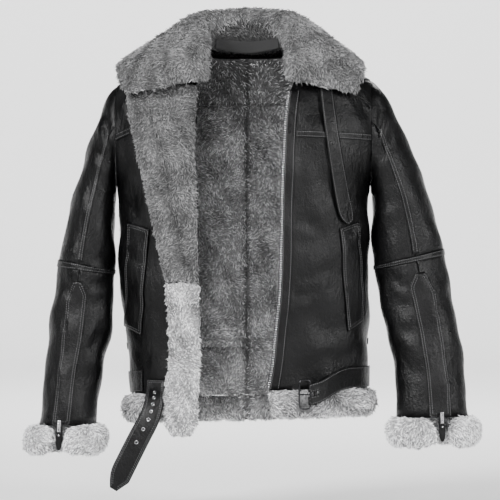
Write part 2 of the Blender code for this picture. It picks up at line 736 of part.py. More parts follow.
def cuff(name, side):
    """The leather piece over the cuff's zip and the roll of pile, which parts at the zip."""

    def placket(u, v):
        along = mix(PLACKET_TOP, CUFF_RING, v)
        half = PLACKET_HALF * math.sqrt(1 - PLACKET_TIP * max(0.0, 1 - v / PLACKET_ROUND) ** 2)
        return sleeve_place(side, along, ZIP_ANGLE + half * (1 - 2 * u))

    patch = (4, 9, thick(placket, SEAT, SEAT + TAPE_WALL))
    wall(f"cuff_placket_{name}", [patch], "leather")

    def fur(u, v):
        angle = ZIP_ANGLE + CUFF_GAP + (math.tau - 2 * CUFF_GAP) * u
        point, out = sleeve_place(side, CUFF_RING, angle)
        down = sleeve_point(side, CUFF_RING, angle) - sleeve_point(side, CUFF_RING - FINE, angle)
        down.normalize()
        out = (out - down * out.dot(down)).normalized()
        reach, drop = CUFF_ROLL(v * CUFF_SIDES)
        near_end = max(0.0, 1 - min(u, 1 - u) / CUFF_END_PART)
        rounded = CUFF_END_ROUND * (1 - math.sqrt(1 - near_end**2))
        return point + out * mix(reach, CUFF_END[0], rounded) + down * mix(drop, CUFF_END[1], rounded)

    roll(f"cuff_fur_{name}", 26, CUFF_SIDES, fur, "pile")


# The collar


def collar_stations():
    """A line up through each station, from the wearer's right front end to the left one."""
    lines = []
    ends = len(COLLAR) - 1
    for number in range(-ends, ends + 1):
        row = COLLAR[ends - abs(number)]
        side = LEFT if number >= 0 else RIGHT
        points = [np.array(row[first : first + 3]) for first in (0, 3, 6, 9)]
        inward = np.array((-abs(row.base_x), -row.base_y, 0.0))
        stand = mix(points[0], points[1], STAND_SHARE) + inward / np.linalg.norm(inward) * STAND_IN
        points.insert(1, stand)
        for height, point in enumerate(points):
            if side == RIGHT and height > 1:
                point[0] *= 1 + COLLAR_RIGHT_WIDER * (height - 1) / (len(points) - 2)
                point[1] -= row.right_out
            point[0] *= side
        lines.append(Track(range(len(points)), points))
    return lines


COLLAR_LINES = collar_stations()
COLLAR_HEIGHT = Track(range(len(COLLAR_HALF)), COLLAR_HALF)


def collar_point(station, rise):
    row = Track(range(len(COLLAR_LINES)), [line(rise) for line in COLLAR_LINES])
    return Vector(row(station))


def collar_place(station, rise):
    """A point of the collar's middle surface and the way to its pile side."""
    ends, top = len(COLLAR_LINES) - 1, len(COLLAR_HALF) - 1
    along = collar_point(min(station + FINE, ends), rise) - collar_point(max(station - FINE, 0), rise)
    up = collar_point(station, min(rise + FINE, top)) - collar_point(station, max(rise - FINE, 0))
    return collar_point(station, rise), along.cross(up).normalized()


def collar():
    ends, top = len(COLLAR_LINES) - 1, len(COLLAR_HALF) - 1

    def both(u, v):
        point, out = collar_place(ends * u, top * v)
        half = COLLAR_HEIGHT(top * v) * mix(COLLAR_END_THIN, 1, ease(min(u, 1 - u) * ends / COLLAR_END_RUN))
        return point + out * half, point - out * half

    wall("collar", [(COLLAR_COLUMNS, 9, both)], "pile")

    def patch(u, v):
        rise = mix(*PATCH_RISE, v)
        point, out = collar_place(ends / 2 + PATCH_WIDE * (2 * u - 1), rise)
        near = COLLAR_HEIGHT(rise) + PATCH_SEAT
        return point + out * near, point + out * (near + TAPE_WALL)

    wall("neck_patch", [(PATCH_COLUMNS, 2, patch)], "leather")


# What lies on the body


def strip_on(side, left, right, bottom, top, place=front_place):
    """A rule over part of a front or back, between two shares across and two levels."""

    def rule(u, v):
        return place(side, mix(left, right, u), mix(bottom, top, v))

    return rule


def body_tapes():
    tape = (TAPE_SEAT, TAPE_SEAT + TAPE_WALL)
    low, high = YOKE - TAPE_LEVELS, YOKE + TAPE_LEVELS
    zip_end = across_at(LEFT, EDGE_TRACK[LEFT](YOKE)[0] + ZIP_STRIP + 2 * SEAT, YOKE)
    free = across_at(RIGHT, TURNED_TRACK(YOKE)[1] + 2 * SEAT, YOKE)
    for name, side, start in (("left", LEFT, zip_end), ("right", RIGHT, free)):
        rule = thick(strip_on(side, start, 1 - 2 * SEAT, low, high), *tape)
        wall(f"yoke_tape_{name}_front", [(11, 2, rule)], "leather")
    for name, level in (("yoke_tape_back", BACK_YOKE), ("lower_back_tape", BACK_BAND)):
        bottom, top = level - TAPE_LEVELS, level + TAPE_LEVELS
        halves = [
            (12, 2, thick(strip_on(side, 0, 1 - 2 * SEAT, bottom, top, back_place), *tape))
            for side in SIDES.values()
        ]
        wall(name, halves, "leather")
    bottom, top = BACK_BAND + TAPE_LEVELS + SEAT, BACK_YOKE - TAPE_LEVELS - SEAT
    halves = [
        (1, 14, thick(strip_on(side, 0, CENTRE_TAPE_ACROSS, bottom, top, back_place), *tape))
        for side in SIDES.values()
    ]
    wall("centre_back_tape", halves, "leather")


def zip_strips():
    levels = rows_between(HEM + 2 * SEAM, (ARMPIT, 8, ""), (EDGE_TOP, 8, ""))

    def left(u, v):
        level = level_at(levels, v)
        edge = EDGE_TRACK[LEFT](level)[0]
        return on_front(LEFT, edge + ZIP_STRIP * u, level)

    rule = thick(left, SEAT, SEAT + ZIP_STRIP_WALL)
    wall("zip_strip_left", [(2, len(levels) - 1, rule)], "leather")
    hidden = rows_between(TURN_SPLIT, (ARMPIT, 5, ""), (EDGE_TOP, 6, ""))

    def right(u, v):
        level = level_at(hidden, v)
        free = TURNED_TRACK(level)[1]
        return on_front(RIGHT, free - mix(*HIDDEN_ZIP, u), level)

    rule = thick(right, HIDDEN_ZIP_SEAT, HIDDEN_ZIP_SEAT + TAPE_WALL)
    wall("zip_strip_right", [(1, len(hidden) - 1, rule)], "leather")


def pockets():
    for name, side in SIDES.items():

        def welt(u, v, side=side):
            top = mix(np.array(POCKET[0]), np.array(POCKET[1]), u)
            bottom = mix(np.array(POCKET[3]), np.array(POCKET[2]), u)
            x, z = mix(bottom, top, v)
            return on_front(side, x * ARMHOLE[side] / ARMHOLE[LEFT], z)

        rule = thick(welt, POCKET_SEAT, POCKET_SEAT + POCKET_WALL)
        wall(f"pocket_welt_{name}", [(4, 8, rule)], "leather")


# Straps


def throat_strap():
    route = Track(range(len(THROAT_STRAP)), THROAT_STRAP)

    def rule(u, v):
        x, z, half = route(v * (len(THROAT_STRAP) - 1))
        return on_front(LEFT, x + half * (2 * u - 1), z)

    patch = (2, 15, thick(rule, THROAT_LIFT, THROAT_LIFT + STRAP_WALL))
    wall("throat_strap", [patch], "leather")


def waist_strap_right():
    start = across_at(RIGHT, WAIST_RIGHT_END, WAIST_LEVEL)
    low, high = WAIST_LEVEL - WAIST_HALF, WAIST_LEVEL + WAIST_HALF
    rule = thick(strip_on(RIGHT, start, 1 - SEAT, low, high), SEAT, SEAT + STRAP_WALL)
    wall("waist_strap_right", [(5, 3, rule)], "leather")


def strap_frame(turn, v):
    """Beside the left strap's middle line: a point over the leather, the way out, how free it is."""
    sideways = WAIST_HALF * (2 * v - 1)
    sewn = body_point(WAIST_LEVEL + sideways, turn)
    flat = body_point(WAIST_LEVEL, turn)
    free = ease((WAIST_LEFT_FREE - flat.x) / (WAIST_LEFT_FREE - BAR_X))
    out = body_normal(sewn).lerp(body_normal(flat), free)
    out.z *= 1 - free
    point = sewn.lerp(flat, free)
    point.z = WAIST_LEVEL + sideways - BAR_DROP * free**2
    return point, out.normalized(), free


def waist_strap_left():
    """Along the hem, off the leather over the pile, round the buckle's bar and back behind it."""
    loop = BAR_RADIUS + BAR_GAP
    end = turn_at(BAR_X, WAIST_LEVEL, LEFT)

    def rule(u, v):
        column = u * STRAP_COLUMNS
        point, out, free = strap_frame(mix(math.pi / 2, end, min(1.0, column / STRAP_OUT)), v)
        if column <= STRAP_OUT:
            near = mix(SEAT, BAR_HEIGHT + loop, free)
            return point + out * (near + STRAP_WALL), point + out * near
        middle = point + out * BAR_HEIGHT
        ahead = out.cross(Vector((0, 0, 1)))
        if column <= STRAP_OUT + STRAP_BEND:
            bend = math.pi * (column - STRAP_OUT) / STRAP_BEND
            spoke = out * math.cos(bend) + ahead * math.sin(bend)
            return middle + spoke * (loop + STRAP_WALL), middle + spoke * loop
        back = middle - ahead * LOOP_BACK * (column - STRAP_OUT - STRAP_BEND) / STRAP_BACK
        return back - out * (loop + STRAP_WALL), back - out * loop

    def slot(u, v):
        return abs(v - 0.5) < SLOT_HALF and STRAP_OUT - 1 < u * STRAP_COLUMNS < STRAP_OUT + STRAP_BEND + 1

    wall("waist_strap_left", [(STRAP_COLUMNS, 5, rule)], "leather", slot)


def wire(name, centre, route, radius, cyclic=False, fine=2):
    """A round wire along a short route from its own origin."""
    curve = bpy.data.curves.new(name, "CURVE")
    curve.dimensions = "3D"
    curve.bevel_depth = radius
    curve.bevel_resolution = fine
    curve.use_fill_caps = not cyclic
    spline = curve.splines.new("POLY")
    spline.points.add(len(route) - 1)
    for point, place in zip(spline.points, route):
        point.co = (*place, 1)
    spline.use_cyclic_u = cyclic
    curve.materials.append(material(name, *LOOKS["metal"]))
    made = bpy.data.objects.new(name, curve)
    made.location = centre
    bpy.data.collections[NAME].objects.link(made)


def buckle():
    """A frame whose bar lies in the strap's loop, and the prong that turns on the bar."""
    point, out, _free = strap_frame(turn_at(BAR_X, WAIST_LEVEL, LEFT), 0.5)
    bar = point + out * BAR_HEIGHT
    up = Vector((0, 0, 1))
    ahead = out.cross(up)
    route = []
    for across, tall, first in ((0, 1, 90), (0, -1, 180), (1, -1, 270), (1, 1, 0)):
        centre_x = FRAME_CORNER if across == 0 else FRAME_WIDE - FRAME_CORNER
        for step in range(3):
            angle = math.radians(first + 45 * step)
            sideways = centre_x + FRAME_CORNER * math.cos(angle)
            height = tall * (FRAME_TALL / 2 - FRAME_CORNER) + FRAME_CORNER * math.sin(angle)
            route.append(ahead * sideways + up * height)
    wire("buckle_frame", bar, route, BAR_RADIUS, cyclic=True)
    ring = BAR_RADIUS + BAR_GAP + PRONG_RADIUS
    prong = []
    for step in range(PRONG_STEPS + 1):
        angle = math.radians(mix(PRONG_OPEN, 360, step / PRONG_STEPS))
        prong.append(ahead * ring * math.sin(angle) + out * ring * math.cos(angle))
    prong.append(ahead * (FRAME_WIDE + BAR_RADIUS) + out * ring)
    wire("buckle_prong", bar, prong, PRONG_RADIUS)


HANG_TRACK = Track(range(len(HANGING)), HANGING)


def hang_place(along, sideways):
    """A point of the hanging strap, from its middle, and the way out of its face."""
    x, y, z, lean, turned = HANG_TRACK(along)
    lean, turned = math.radians(lean), math.radians(turned)
    width = Vector((math.cos(turned) * math.cos(lean), -math.sin(turned), -math.sin(lean)))
    ahead = Vector((HANG_TRACK(along + FINE) - HANG_TRACK(along - FINE))[:3])
    out = ahead.cross(width).normalized()
    return Vector((x, y, z)) + width * sideways, out if out.y < 0 else -out


def hanging_strap():
    last = len(HANGING) - 1

    def rule(u, v):
        half = HANG_HALF * (1 - (1 - HANG_TIP) * max(0.0, 1 - (1 - v) / HANG_TIP_PART))
        return hang_place(v * last, half * (2 * u - 1))

    wall("hanging_strap", [(2, 16, thick(rule, 0, -STRAP_WALL))], "leather")
    for number in range(EYELETS):
        point, out = hang_place(EYELET_FIRST + EYELET_STEP * number, 0.0)
        centre = point + out * (EYELET_WIRE + EYELET_SEAT)
        turn = out.to_track_quat("Z", "Y").to_matrix()
        route = [
            turn @ Vector((math.cos(angle), math.sin(angle), 0)) * EYELET_RING
            for angle in np.linspace(0, math.tau, EYELET_POINTS, endpoint=False)
        ]
        wire(f"eyelet_{number + 1}", centre, route, EYELET_WIRE, cyclic=True, fine=1)


# The cuff zips


def cuff_pull(name, side):
    """A slider at the zip's lower end, and the tab that swings on it."""
    point, out = sleeve_place(side, CUFF_RING - SLIDER_UP, ZIP_ANGLE)
    out = Vector((out.x, out.y, 0)).normalized()
    across = out.cross(Vector((0, 0, 1)))
    turn = Matrix((across, out, Vector((0, 0, 1)))).transposed().to_4x4()
    block(f"cuff_slider_{name}", SLIDER, Matrix.Translation(point + out * SLIDER_OUT) @ turn, "metal")
    hinge = point + out * (SLIDER_OUT + SLIDER[1] / 2 + PULL_GAP + PULL[1] / 2)
    block(f"pull_tab_{name}", PULL, Matrix.Translation(hinge) @ turn, "leather", drop=PULL[2] / 2)


def block(name, size, place, look, drop=0.0):
    """A small box with bevelled edges, hung below its origin by its drop."""
    mesh = bmesh.new()
    bmesh.ops.create_cube(mesh, size=1.0)
    for vert in mesh.verts:
        vert.co = Vector((vert.co.x * size[0], vert.co.y * size[1], vert.co.z * size[2] - drop))
    bmesh.ops.bevel(mesh, geom=mesh.edges[:], offset=min(size) * BLOCK_BEVEL, segments=1, affect="EDGES")
    finish(name, mesh, look).matrix_world = place


def main():
    for old in list(bpy.data.objects):
        bpy.data.objects.remove(old)
    if NAME not in bpy.data.collections:
        bpy.context.scene.collection.children.link(bpy.data.collections.new(NAME))
    fronts()
    facing()
    backs()
    hem_fur()
    sleeves()
    for name, side in SIDES.items():
        cuff_pull(name, side)
    collar()
    body_tapes()
    zip_strips()
    pockets()
    throat_strap()
    waist_strap_right()
    waist_strap_left()
    buckle()
    hanging_strap()


if __name__ == "__main__":
    main()
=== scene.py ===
"""Aviator jacket of black leather with grey pile: leather, pile, sewing, zips and buckle."""
import json
import math
from collections import namedtuple

import bmesh
import bpy
import numpy as np
from mathutils import Matrix, Vector


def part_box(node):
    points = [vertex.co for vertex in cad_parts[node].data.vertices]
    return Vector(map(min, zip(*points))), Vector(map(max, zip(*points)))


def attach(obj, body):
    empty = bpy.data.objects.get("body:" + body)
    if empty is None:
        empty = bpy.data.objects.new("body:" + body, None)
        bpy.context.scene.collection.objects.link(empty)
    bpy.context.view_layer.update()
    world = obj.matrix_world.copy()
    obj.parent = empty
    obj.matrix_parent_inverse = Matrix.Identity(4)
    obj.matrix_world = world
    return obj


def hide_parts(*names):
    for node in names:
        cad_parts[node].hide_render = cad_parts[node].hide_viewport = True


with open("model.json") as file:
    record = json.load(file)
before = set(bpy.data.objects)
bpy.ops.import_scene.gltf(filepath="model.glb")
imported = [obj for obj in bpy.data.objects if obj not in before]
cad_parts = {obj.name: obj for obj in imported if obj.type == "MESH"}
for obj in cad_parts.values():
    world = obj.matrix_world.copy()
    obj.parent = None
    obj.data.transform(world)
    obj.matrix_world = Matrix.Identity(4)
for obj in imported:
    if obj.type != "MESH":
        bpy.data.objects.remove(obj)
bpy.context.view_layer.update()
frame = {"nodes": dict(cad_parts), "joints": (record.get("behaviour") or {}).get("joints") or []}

bl_info = {
    "name": "Aviator jacket",
    "version": (1, 0, 0),
    "blender": (4, 5, 0),
    "location": "View3D > Sidebar > Jacket",
    "description": "Dresses the packed jacket in leather, pile, sewing and metal",
    "category": "Object",
}

JACKET = "jacket"
LEFT, RIGHT = 1, -1
SIDES = {"left": LEFT, "right": RIGHT}
WELD = 2e-5
SHARP, CORNER = math.radians(48), math.radians(28)

# The body's half widths and depths at each level, as the solids have them
Section = namedtuple("Section", "z right left front back")
TORSO = (
    Section(-0.700, 0.2150, 0.2220, 0.115, 0.124),
    Section(-0.560, 0.2185, 0.2245, 0.121, 0.121),
    Section(-0.460, 0.2345, 0.2270, 0.128, 0.118),
    Section(-0.390, 0.2378, 0.2272, 0.132, 0.120),
    Section(-0.300, 0.2385, 0.2262, 0.135, 0.126),
    Section(-0.235, 0.2405, 0.2275, 0.136, 0.132),
    Section(-0.185, 0.2610, 0.2480, 0.134, 0.136),
    Section(-0.130, 0.2685, 0.2555, 0.126, 0.136),
    Section(-0.085, 0.2600, 0.2480, 0.110, 0.128),
    Section(-0.040, 0.2250, 0.2275, 0.088, 0.110),
    Section(0.000, 0.1430, 0.1420, 0.068, 0.090),
    Section(0.030, 0.0690, 0.0680, 0.052, 0.072),
)
BODY_ROUND = 2.4

# The middle line of each sleeve, from the shoulder to the cuff
SleeveRow = namedtuple("SleeveRow", "x y z")
SLEEVE_LINE = {
    LEFT: (
        SleeveRow(0.2275, 0.003, -0.137),
        SleeveRow(0.2490, 0.000, -0.176),
        SleeveRow(0.2650, -0.001, -0.226),
        SleeveRow(0.2830, -0.003, -0.288),
        SleeveRow(0.2980, -0.008, -0.373),
        SleeveRow(0.3140, -0.018, -0.455),
        SleeveRow(0.3310, -0.030, -0.547),
        SleeveRow(0.3402, -0.045, -0.659),
    ),
    RIGHT: (
        SleeveRow(-0.2405, 0.003, -0.144),
        SleeveRow(-0.2570, 0.000, -0.183),
        SleeveRow(-0.2698, -0.001, -0.234),
        SleeveRow(-0.2826, -0.003, -0.295),
        SleeveRow(-0.2960, -0.010, -0.388),
        SleeveRow(-0.3030, -0.019, -0.467),
        SleeveRow(-0.3170, -0.031, -0.5655),
        SleeveRow(-0.3287, -0.046, -0.673),
    ),
}

# What each sheet of leather is cut to: width and length
Cut = namedtuple("Cut", "width length")
BODY_CUTS = {
    "front_panel_left": Cut(0.235, 0.460),
    "front_panel_right": Cut(0.250, 0.460),
    "front_yoke_left": Cut(0.205, 0.160),
    "front_yoke_right": Cut(0.225, 0.160),
    "back_panel_left": Cut(0.285, 0.450),
    "back_panel_right": Cut(0.300, 0.450),
    "back_yoke": Cut(0.620, 0.110),
    "back_band_left": Cut(0.300, 0.098),
    "back_band_right": Cut(0.300, 0.098),
}
SLEEVE_CUTS = {
    "sleeve_outer_left": Cut(0.185, 0.320),
    "sleeve_outer_right": Cut(0.182, 0.315),
    "sleeve_inner_left": Cut(0.215, 0.210),
    "sleeve_inner_right": Cut(0.210, 0.205),
    "forearm_outer_left": Cut(0.170, 0.300),
    "forearm_outer_right": Cut(0.170, 0.295),
    "forearm_inner_left": Cut(0.215, 0.290),
    "forearm_inner_right": Cut(0.205, 0.290),
}
TRIM_CUTS = {
    "yoke_tape_left_front": Cut(0.175, 0.012),
    "yoke_tape_right_front": Cut(0.048, 0.012),
    "yoke_tape_back": Cut(0.560, 0.012),
    "lower_back_tape": Cut(0.620, 0.012),
    "centre_back_tape": Cut(0.012, 0.450),
    "seam_tape_front_left": Cut(0.011, 0.245),
    "seam_tape_front_right": Cut(0.010, 0.225),
    "seam_tape_back_left": Cut(0.011, 0.245),
    "seam_tape_back_right": Cut(0.010, 0.225),
    "elbow_tape_left": Cut(0.400, 0.011),
    "elbow_tape_right": Cut(0.420, 0.011),
    "cuff_placket_left": Cut(0.044, 0.265),
    "cuff_placket_right": Cut(0.037, 0.265),
    "zip_strip_left": Cut(0.020, 0.545),
    "zip_strip_right": Cut(0.015, 0.370),
    "pocket_welt_left": Cut(0.046, 0.200),
    "pocket_welt_right": Cut(0.052, 0.205),
    "neck_patch": Cut(0.120, 0.027),
}
STRAP_CUTS = {
    "throat_strap": Cut(0.026, 0.265),
    "waist_strap_left": Cut(0.038, 0.215),
    "waist_strap_right": Cut(0.038, 0.078),
    "hanging_strap": Cut(0.040, 0.225),
}
PILE_NODES = (
    "collar",
    "hem_fur_back",
    "hem_fur_left_front",
    "hem_fur_right_front",
    "cuff_fur_left",
    "cuff_fur_right",
    "facing_right_upper",
    "facing_right_lower",
)


# Sizes and colours that a user may change


class LeatherLook(bpy.types.PropertyGroup):
    colour: bpy.props.FloatVectorProperty(
        name="Leather colour",
        description="Colour of the leather",
        subtype="COLOR",
        size=3,
        min=0.0,
        max=1.0,
        default=(0.0009, 0.0009, 0.0010),
    )
    roughness: bpy.props.FloatProperty(
        name="Leather roughness",
        description="How matt the leather is",
        subtype="FACTOR",
        min=0.0,
        max=1.0,
        default=0.35,
    )
    grain: bpy.props.FloatProperty(
        name="Grain size",
        description="Distance between the pores of the leather",
        subtype="DISTANCE",
        unit="LENGTH",
        min=0.0004,
        max=0.01,
        default=0.0018,
    )
    creasing: bpy.props.FloatProperty(
        name="Creasing",
        description="Depth of the creases, as a share of their full depth",
        subtype="FACTOR",
        min=0.0,
        max=2.0,
        default=1.2,
    )


class PileLook(bpy.types.PropertyGroup):
    # The root colour is painted shade among the locks: the locks are darkest at their roots, and the ground
    # under them takes its tone from it too.
    dark: bpy.props.FloatVectorProperty(
        name="Root colour",
        description="Colour of the pile at its roots",
        subtype="COLOR",
        size=3,
        min=0.0,
        max=1.0,
        default=(0.050, 0.050, 0.052),
    )
    light: bpy.props.FloatVectorProperty(
        name="Tip colour",
        description="Colour of the pile at its tips",
        subtype="COLOR",
        size=3,
        min=0.0,
        max=1.0,
        default=(0.46, 0.46, 0.465),
    )
    length: bpy.props.FloatProperty(
        name="Lock length",
        description="Length of one lock of pile",
        subtype="DISTANCE",
        unit="LENGTH",
        min=0.002,
        max=0.03,
        default=0.0088,
    )
    thickness: bpy.props.FloatProperty(
        name="Lock thickness",
        description="Thickness of one lock of pile at its root",
        subtype="DISTANCE",
        unit="LENGTH",
        min=0.0004,
        max=0.006,
        default=0.0019,
    )
    density: bpy.props.FloatProperty(
        name="Locks",
        description="Locks on each square metre where the pile shows most",
        min=1000.0,
        max=300000.0,
        default=106000.0,
    )


class SewingLook(bpy.types.PropertyGroup):
    pitch: bpy.props.FloatProperty(
        name="Stitch pitch",
        description="Distance from one stitch to the next",
        subtype="DISTANCE",
        unit="LENGTH",
        min=0.001,
        max=0.02,
        default=0.0042,
    )
    thread: bpy.props.FloatProperty(
        name="Thread thickness",
        description="Thickness of the sewing thread",
        subtype="DISTANCE",
        unit="LENGTH",
        min=0.0002,
        max=0.003,
        default=0.0011,
    )


class MetalLook(bpy.types.PropertyGroup):
    colour: bpy.props.FloatVectorProperty(
        name="Metal colour",
        description="Colour of the zips and the eyelets",
        subtype="COLOR",
        size=3,
        min=0.0,
        max=1.0,
        default=(0.42, 0.42, 0.43),
    )
    dark: bpy.props.FloatVectorProperty(
        name="Dark metal colour",
        description="Colour of the buckle's frame and prong",
        subtype="COLOR",
        size=3,
        min=0.0,
        max=1.0,
        default=(0.035, 0.035, 0.037),
    )
    tooth_pitch: bpy.props.FloatProperty(
        name="Tooth pitch",
        description="Distance from one zip tooth to the next",
        subtype="DISTANCE",
        unit="LENGTH",
        min=0.001,
        max=0.01,
        default=0.0042,
    )


def looks():
    """The four groups of sizes and colours."""
    scene = bpy.context.scene
    return scene.leather_look, scene.pile_look, scene.sewing_look, scene.metal_look


# How much pile each place has, and the small pieces' sizes in metres

# Each place's share of locks, how light its pile is made, and how long its locks are. The lightness is
# painted shade and light on one pile: darker near the collar and on the turned-back edge, lighter at the
# cuffs, the hem and the lower facing.
PileRow = namedtuple("PileRow", "share bright long")
PILE_LOCKS = {
    "collar": PileRow(0.85, 0.36, 1.05),
    "hem_fur_back": PileRow(0.70, 1.10, 0.9),
    "hem_fur_left_front": PileRow(0.85, 0.85, 1.0),
    "hem_fur_right_front": PileRow(0.85, 0.85, 1.0),
    "cuff_fur_left": PileRow(0.80, 1.80, 0.9),
    "cuff_fur_right": PileRow(0.80, 1.80, 0.9),
    "facing_right_upper": PileRow(0.90, 0.31, 0.8),
    "facing_right_lower": PileRow(0.90, 1.20, 0.75),
}
# The turned-back edge, the inside of the back and the other insides: shares of locks, then lightness, which
# is painted shade and light as above.
FOLD_LOCKS, BACK_LOCKS, INSIDE_LOCKS = 0.80, 0.62, 0.10
FOLD_BRIGHT, BACK_BRIGHT, INSIDE_BRIGHT = 0.31, 1.15, 0.8
# The way, in radians a metre, and the strength of the waves that make the pile lighter and darker
PATCHES = (
    ((47.0, 31.0, -23.0), 0.20),
    ((-69.0, 43.0, 31.0), 0.17),
    ((190.0, -140.0, 90.0), 0.15),
)
PATCH_BENDS = ((29.0, -41.0, 53.0), 1.9)
# A lock's random spread of lightness, the limits of the pile's lightness, and painted light that makes locks
# facing down lighter.
LOCK_UNEVEN, SHADE_LIMITS, DOWN_PAINTED_LIGHT = 0.26, (0.12, 1.9), 0.55
PATCH_CLEAR, BUCKLE_CLEAR = 0.006, (0.0035, 0.016, 0.0035)
LINING_SEAMS, LINING_SEAM_HALF, LINING_SEAM_DARK = (-0.080, -0.523), 0.0014, 0.65
# Painted shade darkens the pile inside the back toward the neck: the share of its lightness left at the
# neck, and the levels where the shade starts and is darkest.
NECK_PAINTED_SHADE, NECK_FROM, NECK_TO = 0.22, -0.170, -0.020
LOCK_SEEDS = {
    node: 11 + 7 * number for number, node in enumerate((*BODY_CUTS, *PILE_NODES))
}
SEWN_ONCE, SEWN_TWICE, SEWN_STRAP = (0.0022,), (0.0020, 0.0062), (0.0026, 0.0056)
EDGE_LEAST = 0.022
EYELETS = 7
HOLE, HOLE_DEEP, HOLE_SUNK, HOLE_SEGMENTS = 0.0026, 0.0008, 0.0007, 20
ZIP_BESIDE, ZIP_UNDER, ZIP_TAPE_HALF, ZIP_TAPE_THICK = 0.0016, 0.0014, 0.0034, 0.0007
ZIP_LEAST, ZIP_END = 0.2, 0.004  # a zip's border is at least this long, and is left bare at its ends
TOOTH, TOOTH_UP, TOOTH_BEVEL = (0.0042, 0.0020, 0.0018), 0.0010, 0.28
CHAIN_LONG, CHAIN_BACK, CHAIN_TAPE_HALF, CHAIN_TOOTH = 0.034, 0.0040, 0.0055, (0.0050, 0.0016, 0.0016)
CHAIN_CLOSE = 1.4  # a cuff's teeth are this much closer together than the front's
TAB, RIVET = (0.0108, 0.0028, 0.0330), 0.0021
# As shares of the tab: how much its ends narrow and over how much of it, and how much its sides thin
TAB_FOOT, TAB_HEAD, TAB_END, TAB_SIDES = 0.45, 0.30, 0.25, 0.30
RIVET_UP, RIVET_OUT = 0.80, 0.32
LINK, LINK_LAP, LINK_HOLE, LINK_FACE = (0.0056, 0.0022), 0.006, 0.2, 0.9

Light = namedtuple("Light", "name place wide tall power aim")
MIDDLE, BEHIND = (0.0, 0.0, -0.35), (0.0, 8.0, -0.20)
LIGHTS = (
    Light("key", (-2.1, -2.6, 1.9), 1.0, 1.2, 330.0, MIDDLE),
    Light("fill", (2.5, -2.2, 0.8), 0.8, 1.6, 150.0, MIDDLE),
    Light("front", (-0.5, -3.9, 0.9), 0.7, 0.5, 75.0, MIDDLE),
    Light("back", (0.6, 3.0, 2.0), 2.0, 1.0, 110.0, MIDDLE),
    Light("backdrop", (0.0, 3.4, 3.4), 4.0, 1.0, 520.0, BEHIND),
)
ROOM_LIGHT, STAGE_GLOW = 0.05, 0.22
SENSOR, CAMERA_AWAY, CAMERA_VIEW = 36.0, 5.0, 0.925
CAMERA_X, CAMERA_Z = 0.0055, -0.355
STAGE_FLOOR, STAGE_TOP, STAGE_REACH, STAGE_BEND = -0.86, 1.4, 8.0, 0.9
STAGE_BEND_STEPS, STAGE_TURN_STEPS = 12, 96


# Materials


# Colours of the dark cloth at the neck, also used for the painted shade in the eyelets' holes.
DARK_CLOTH_AND_HOLE_SHADE_COLOURS = (0.003, 0.003, 0.0032), (0.009, 0.009, 0.0095)
THREAD_COLOURS = (0.030, 0.030, 0.031), (0.095, 0.095, 0.097)
ZIP_TAPE_COLOURS = (0.006, 0.006, 0.007), (0.020, 0.020, 0.021)
# Wrinkles of the leather, from large to small: their noise, then their bump's strength and depth in metres
Wrinkle = namedtuple("Wrinkle", "scale detail rough stretch strength depth")
WRINKLES = (
    Wrinkle(42.0, 5.0, 0.60, (1.0, 1.0, 0.45), 0.42, 0.0060),
    Wrinkle(105.0, 4.0, 0.65, (1.0, 1.0, 0.70), 0.50, 0.0030),
    Wrinkle(260.0, 3.0, 0.60, None, 0.62, 0.0013),
)
PORE_STRENGTH, PORE_DEPTH = 0.60, 0.0005
# How much lighter worn leather is, and how much smoother and rougher than the rest its patches are
WORN_TIMES, WORN_PLUS = 2.0, 0.0014
SMOOTHER, ROUGHER = 0.09, 0.12


def new_material(name):
    made = bpy.data.materials.new(name)
    made.use_nodes = True
    return made, made.node_tree.nodes, made.node_tree.links, made.node_tree.nodes["Principled BSDF"]


def object_noise(nodes, links, scale, detail=4.0, rough=0.55, stretch=None):
    """Noise on the piece's own coordinates; a stretch draws it out along one way."""
    place = nodes.new("ShaderNodeTexCoord")
    noise = nodes.new("ShaderNodeTexNoise")
    noise.inputs["Scale"].default_value = scale
    noise.inputs["Detail"].default_value = detail
    noise.inputs["Roughness"].default_value = rough
    source = place.outputs["Object"]
    if stretch:
        mapping = nodes.new("ShaderNodeMapping")
        mapping.inputs["Scale"].default_value = stretch
        links.new(source, mapping.inputs["Vector"])
        source = mapping.outputs["Vector"]
    links.new(source, noise.inputs["Vector"])
    return noise.outputs["Fac"]


def ranged(nodes, links, value, low, high, start=0.3, end=0.7):
    """A value between two noise levels, spread over a new range."""
    spread = nodes.new("ShaderNodeMapRange")
    spread.inputs["From Min"].default_value = start
    spread.inputs["From Max"].default_value = end
    spread.inputs["To Min"].default_value = low
    spread.inputs["To Max"].default_value = high
    links.new(value, spread.inputs["Value"])
    return spread.outputs["Result"]


def blended(nodes, links, value, first, second):
    mix = nodes.new("ShaderNodeMix")
    mix.data_type = "RGBA"
    mix.inputs["A"].default_value = (*first, 1.0)
    mix.inputs["B"].default_value = (*second, 1.0)
    links.new(value, mix.inputs["Factor"])
    return mix.outputs["Result"]


def bumped(nodes, links, height, strength, depth, under=None):
    bump = nodes.new("ShaderNodeBump")
    bump.inputs["Strength"].default_value = strength
    bump.inputs["Distance"].default_value = depth
    links.new(height, bump.inputs["Height"])
    if under:
        links.new(under, bump.inputs["Normal"])
    return bump.outputs["Normal"]


def pores(nodes, links, size):
    """The pebbled grain of leather."""
    place = nodes.new("ShaderNodeTexCoord")
    cells = nodes.new("ShaderNodeTexVoronoi")
    cells.feature = "DISTANCE_TO_EDGE"
    cells.inputs["Scale"].default_value = 1 / size
    links.new(place.outputs["Object"], cells.inputs["Vector"])
    return cells.outputs["Distance"]


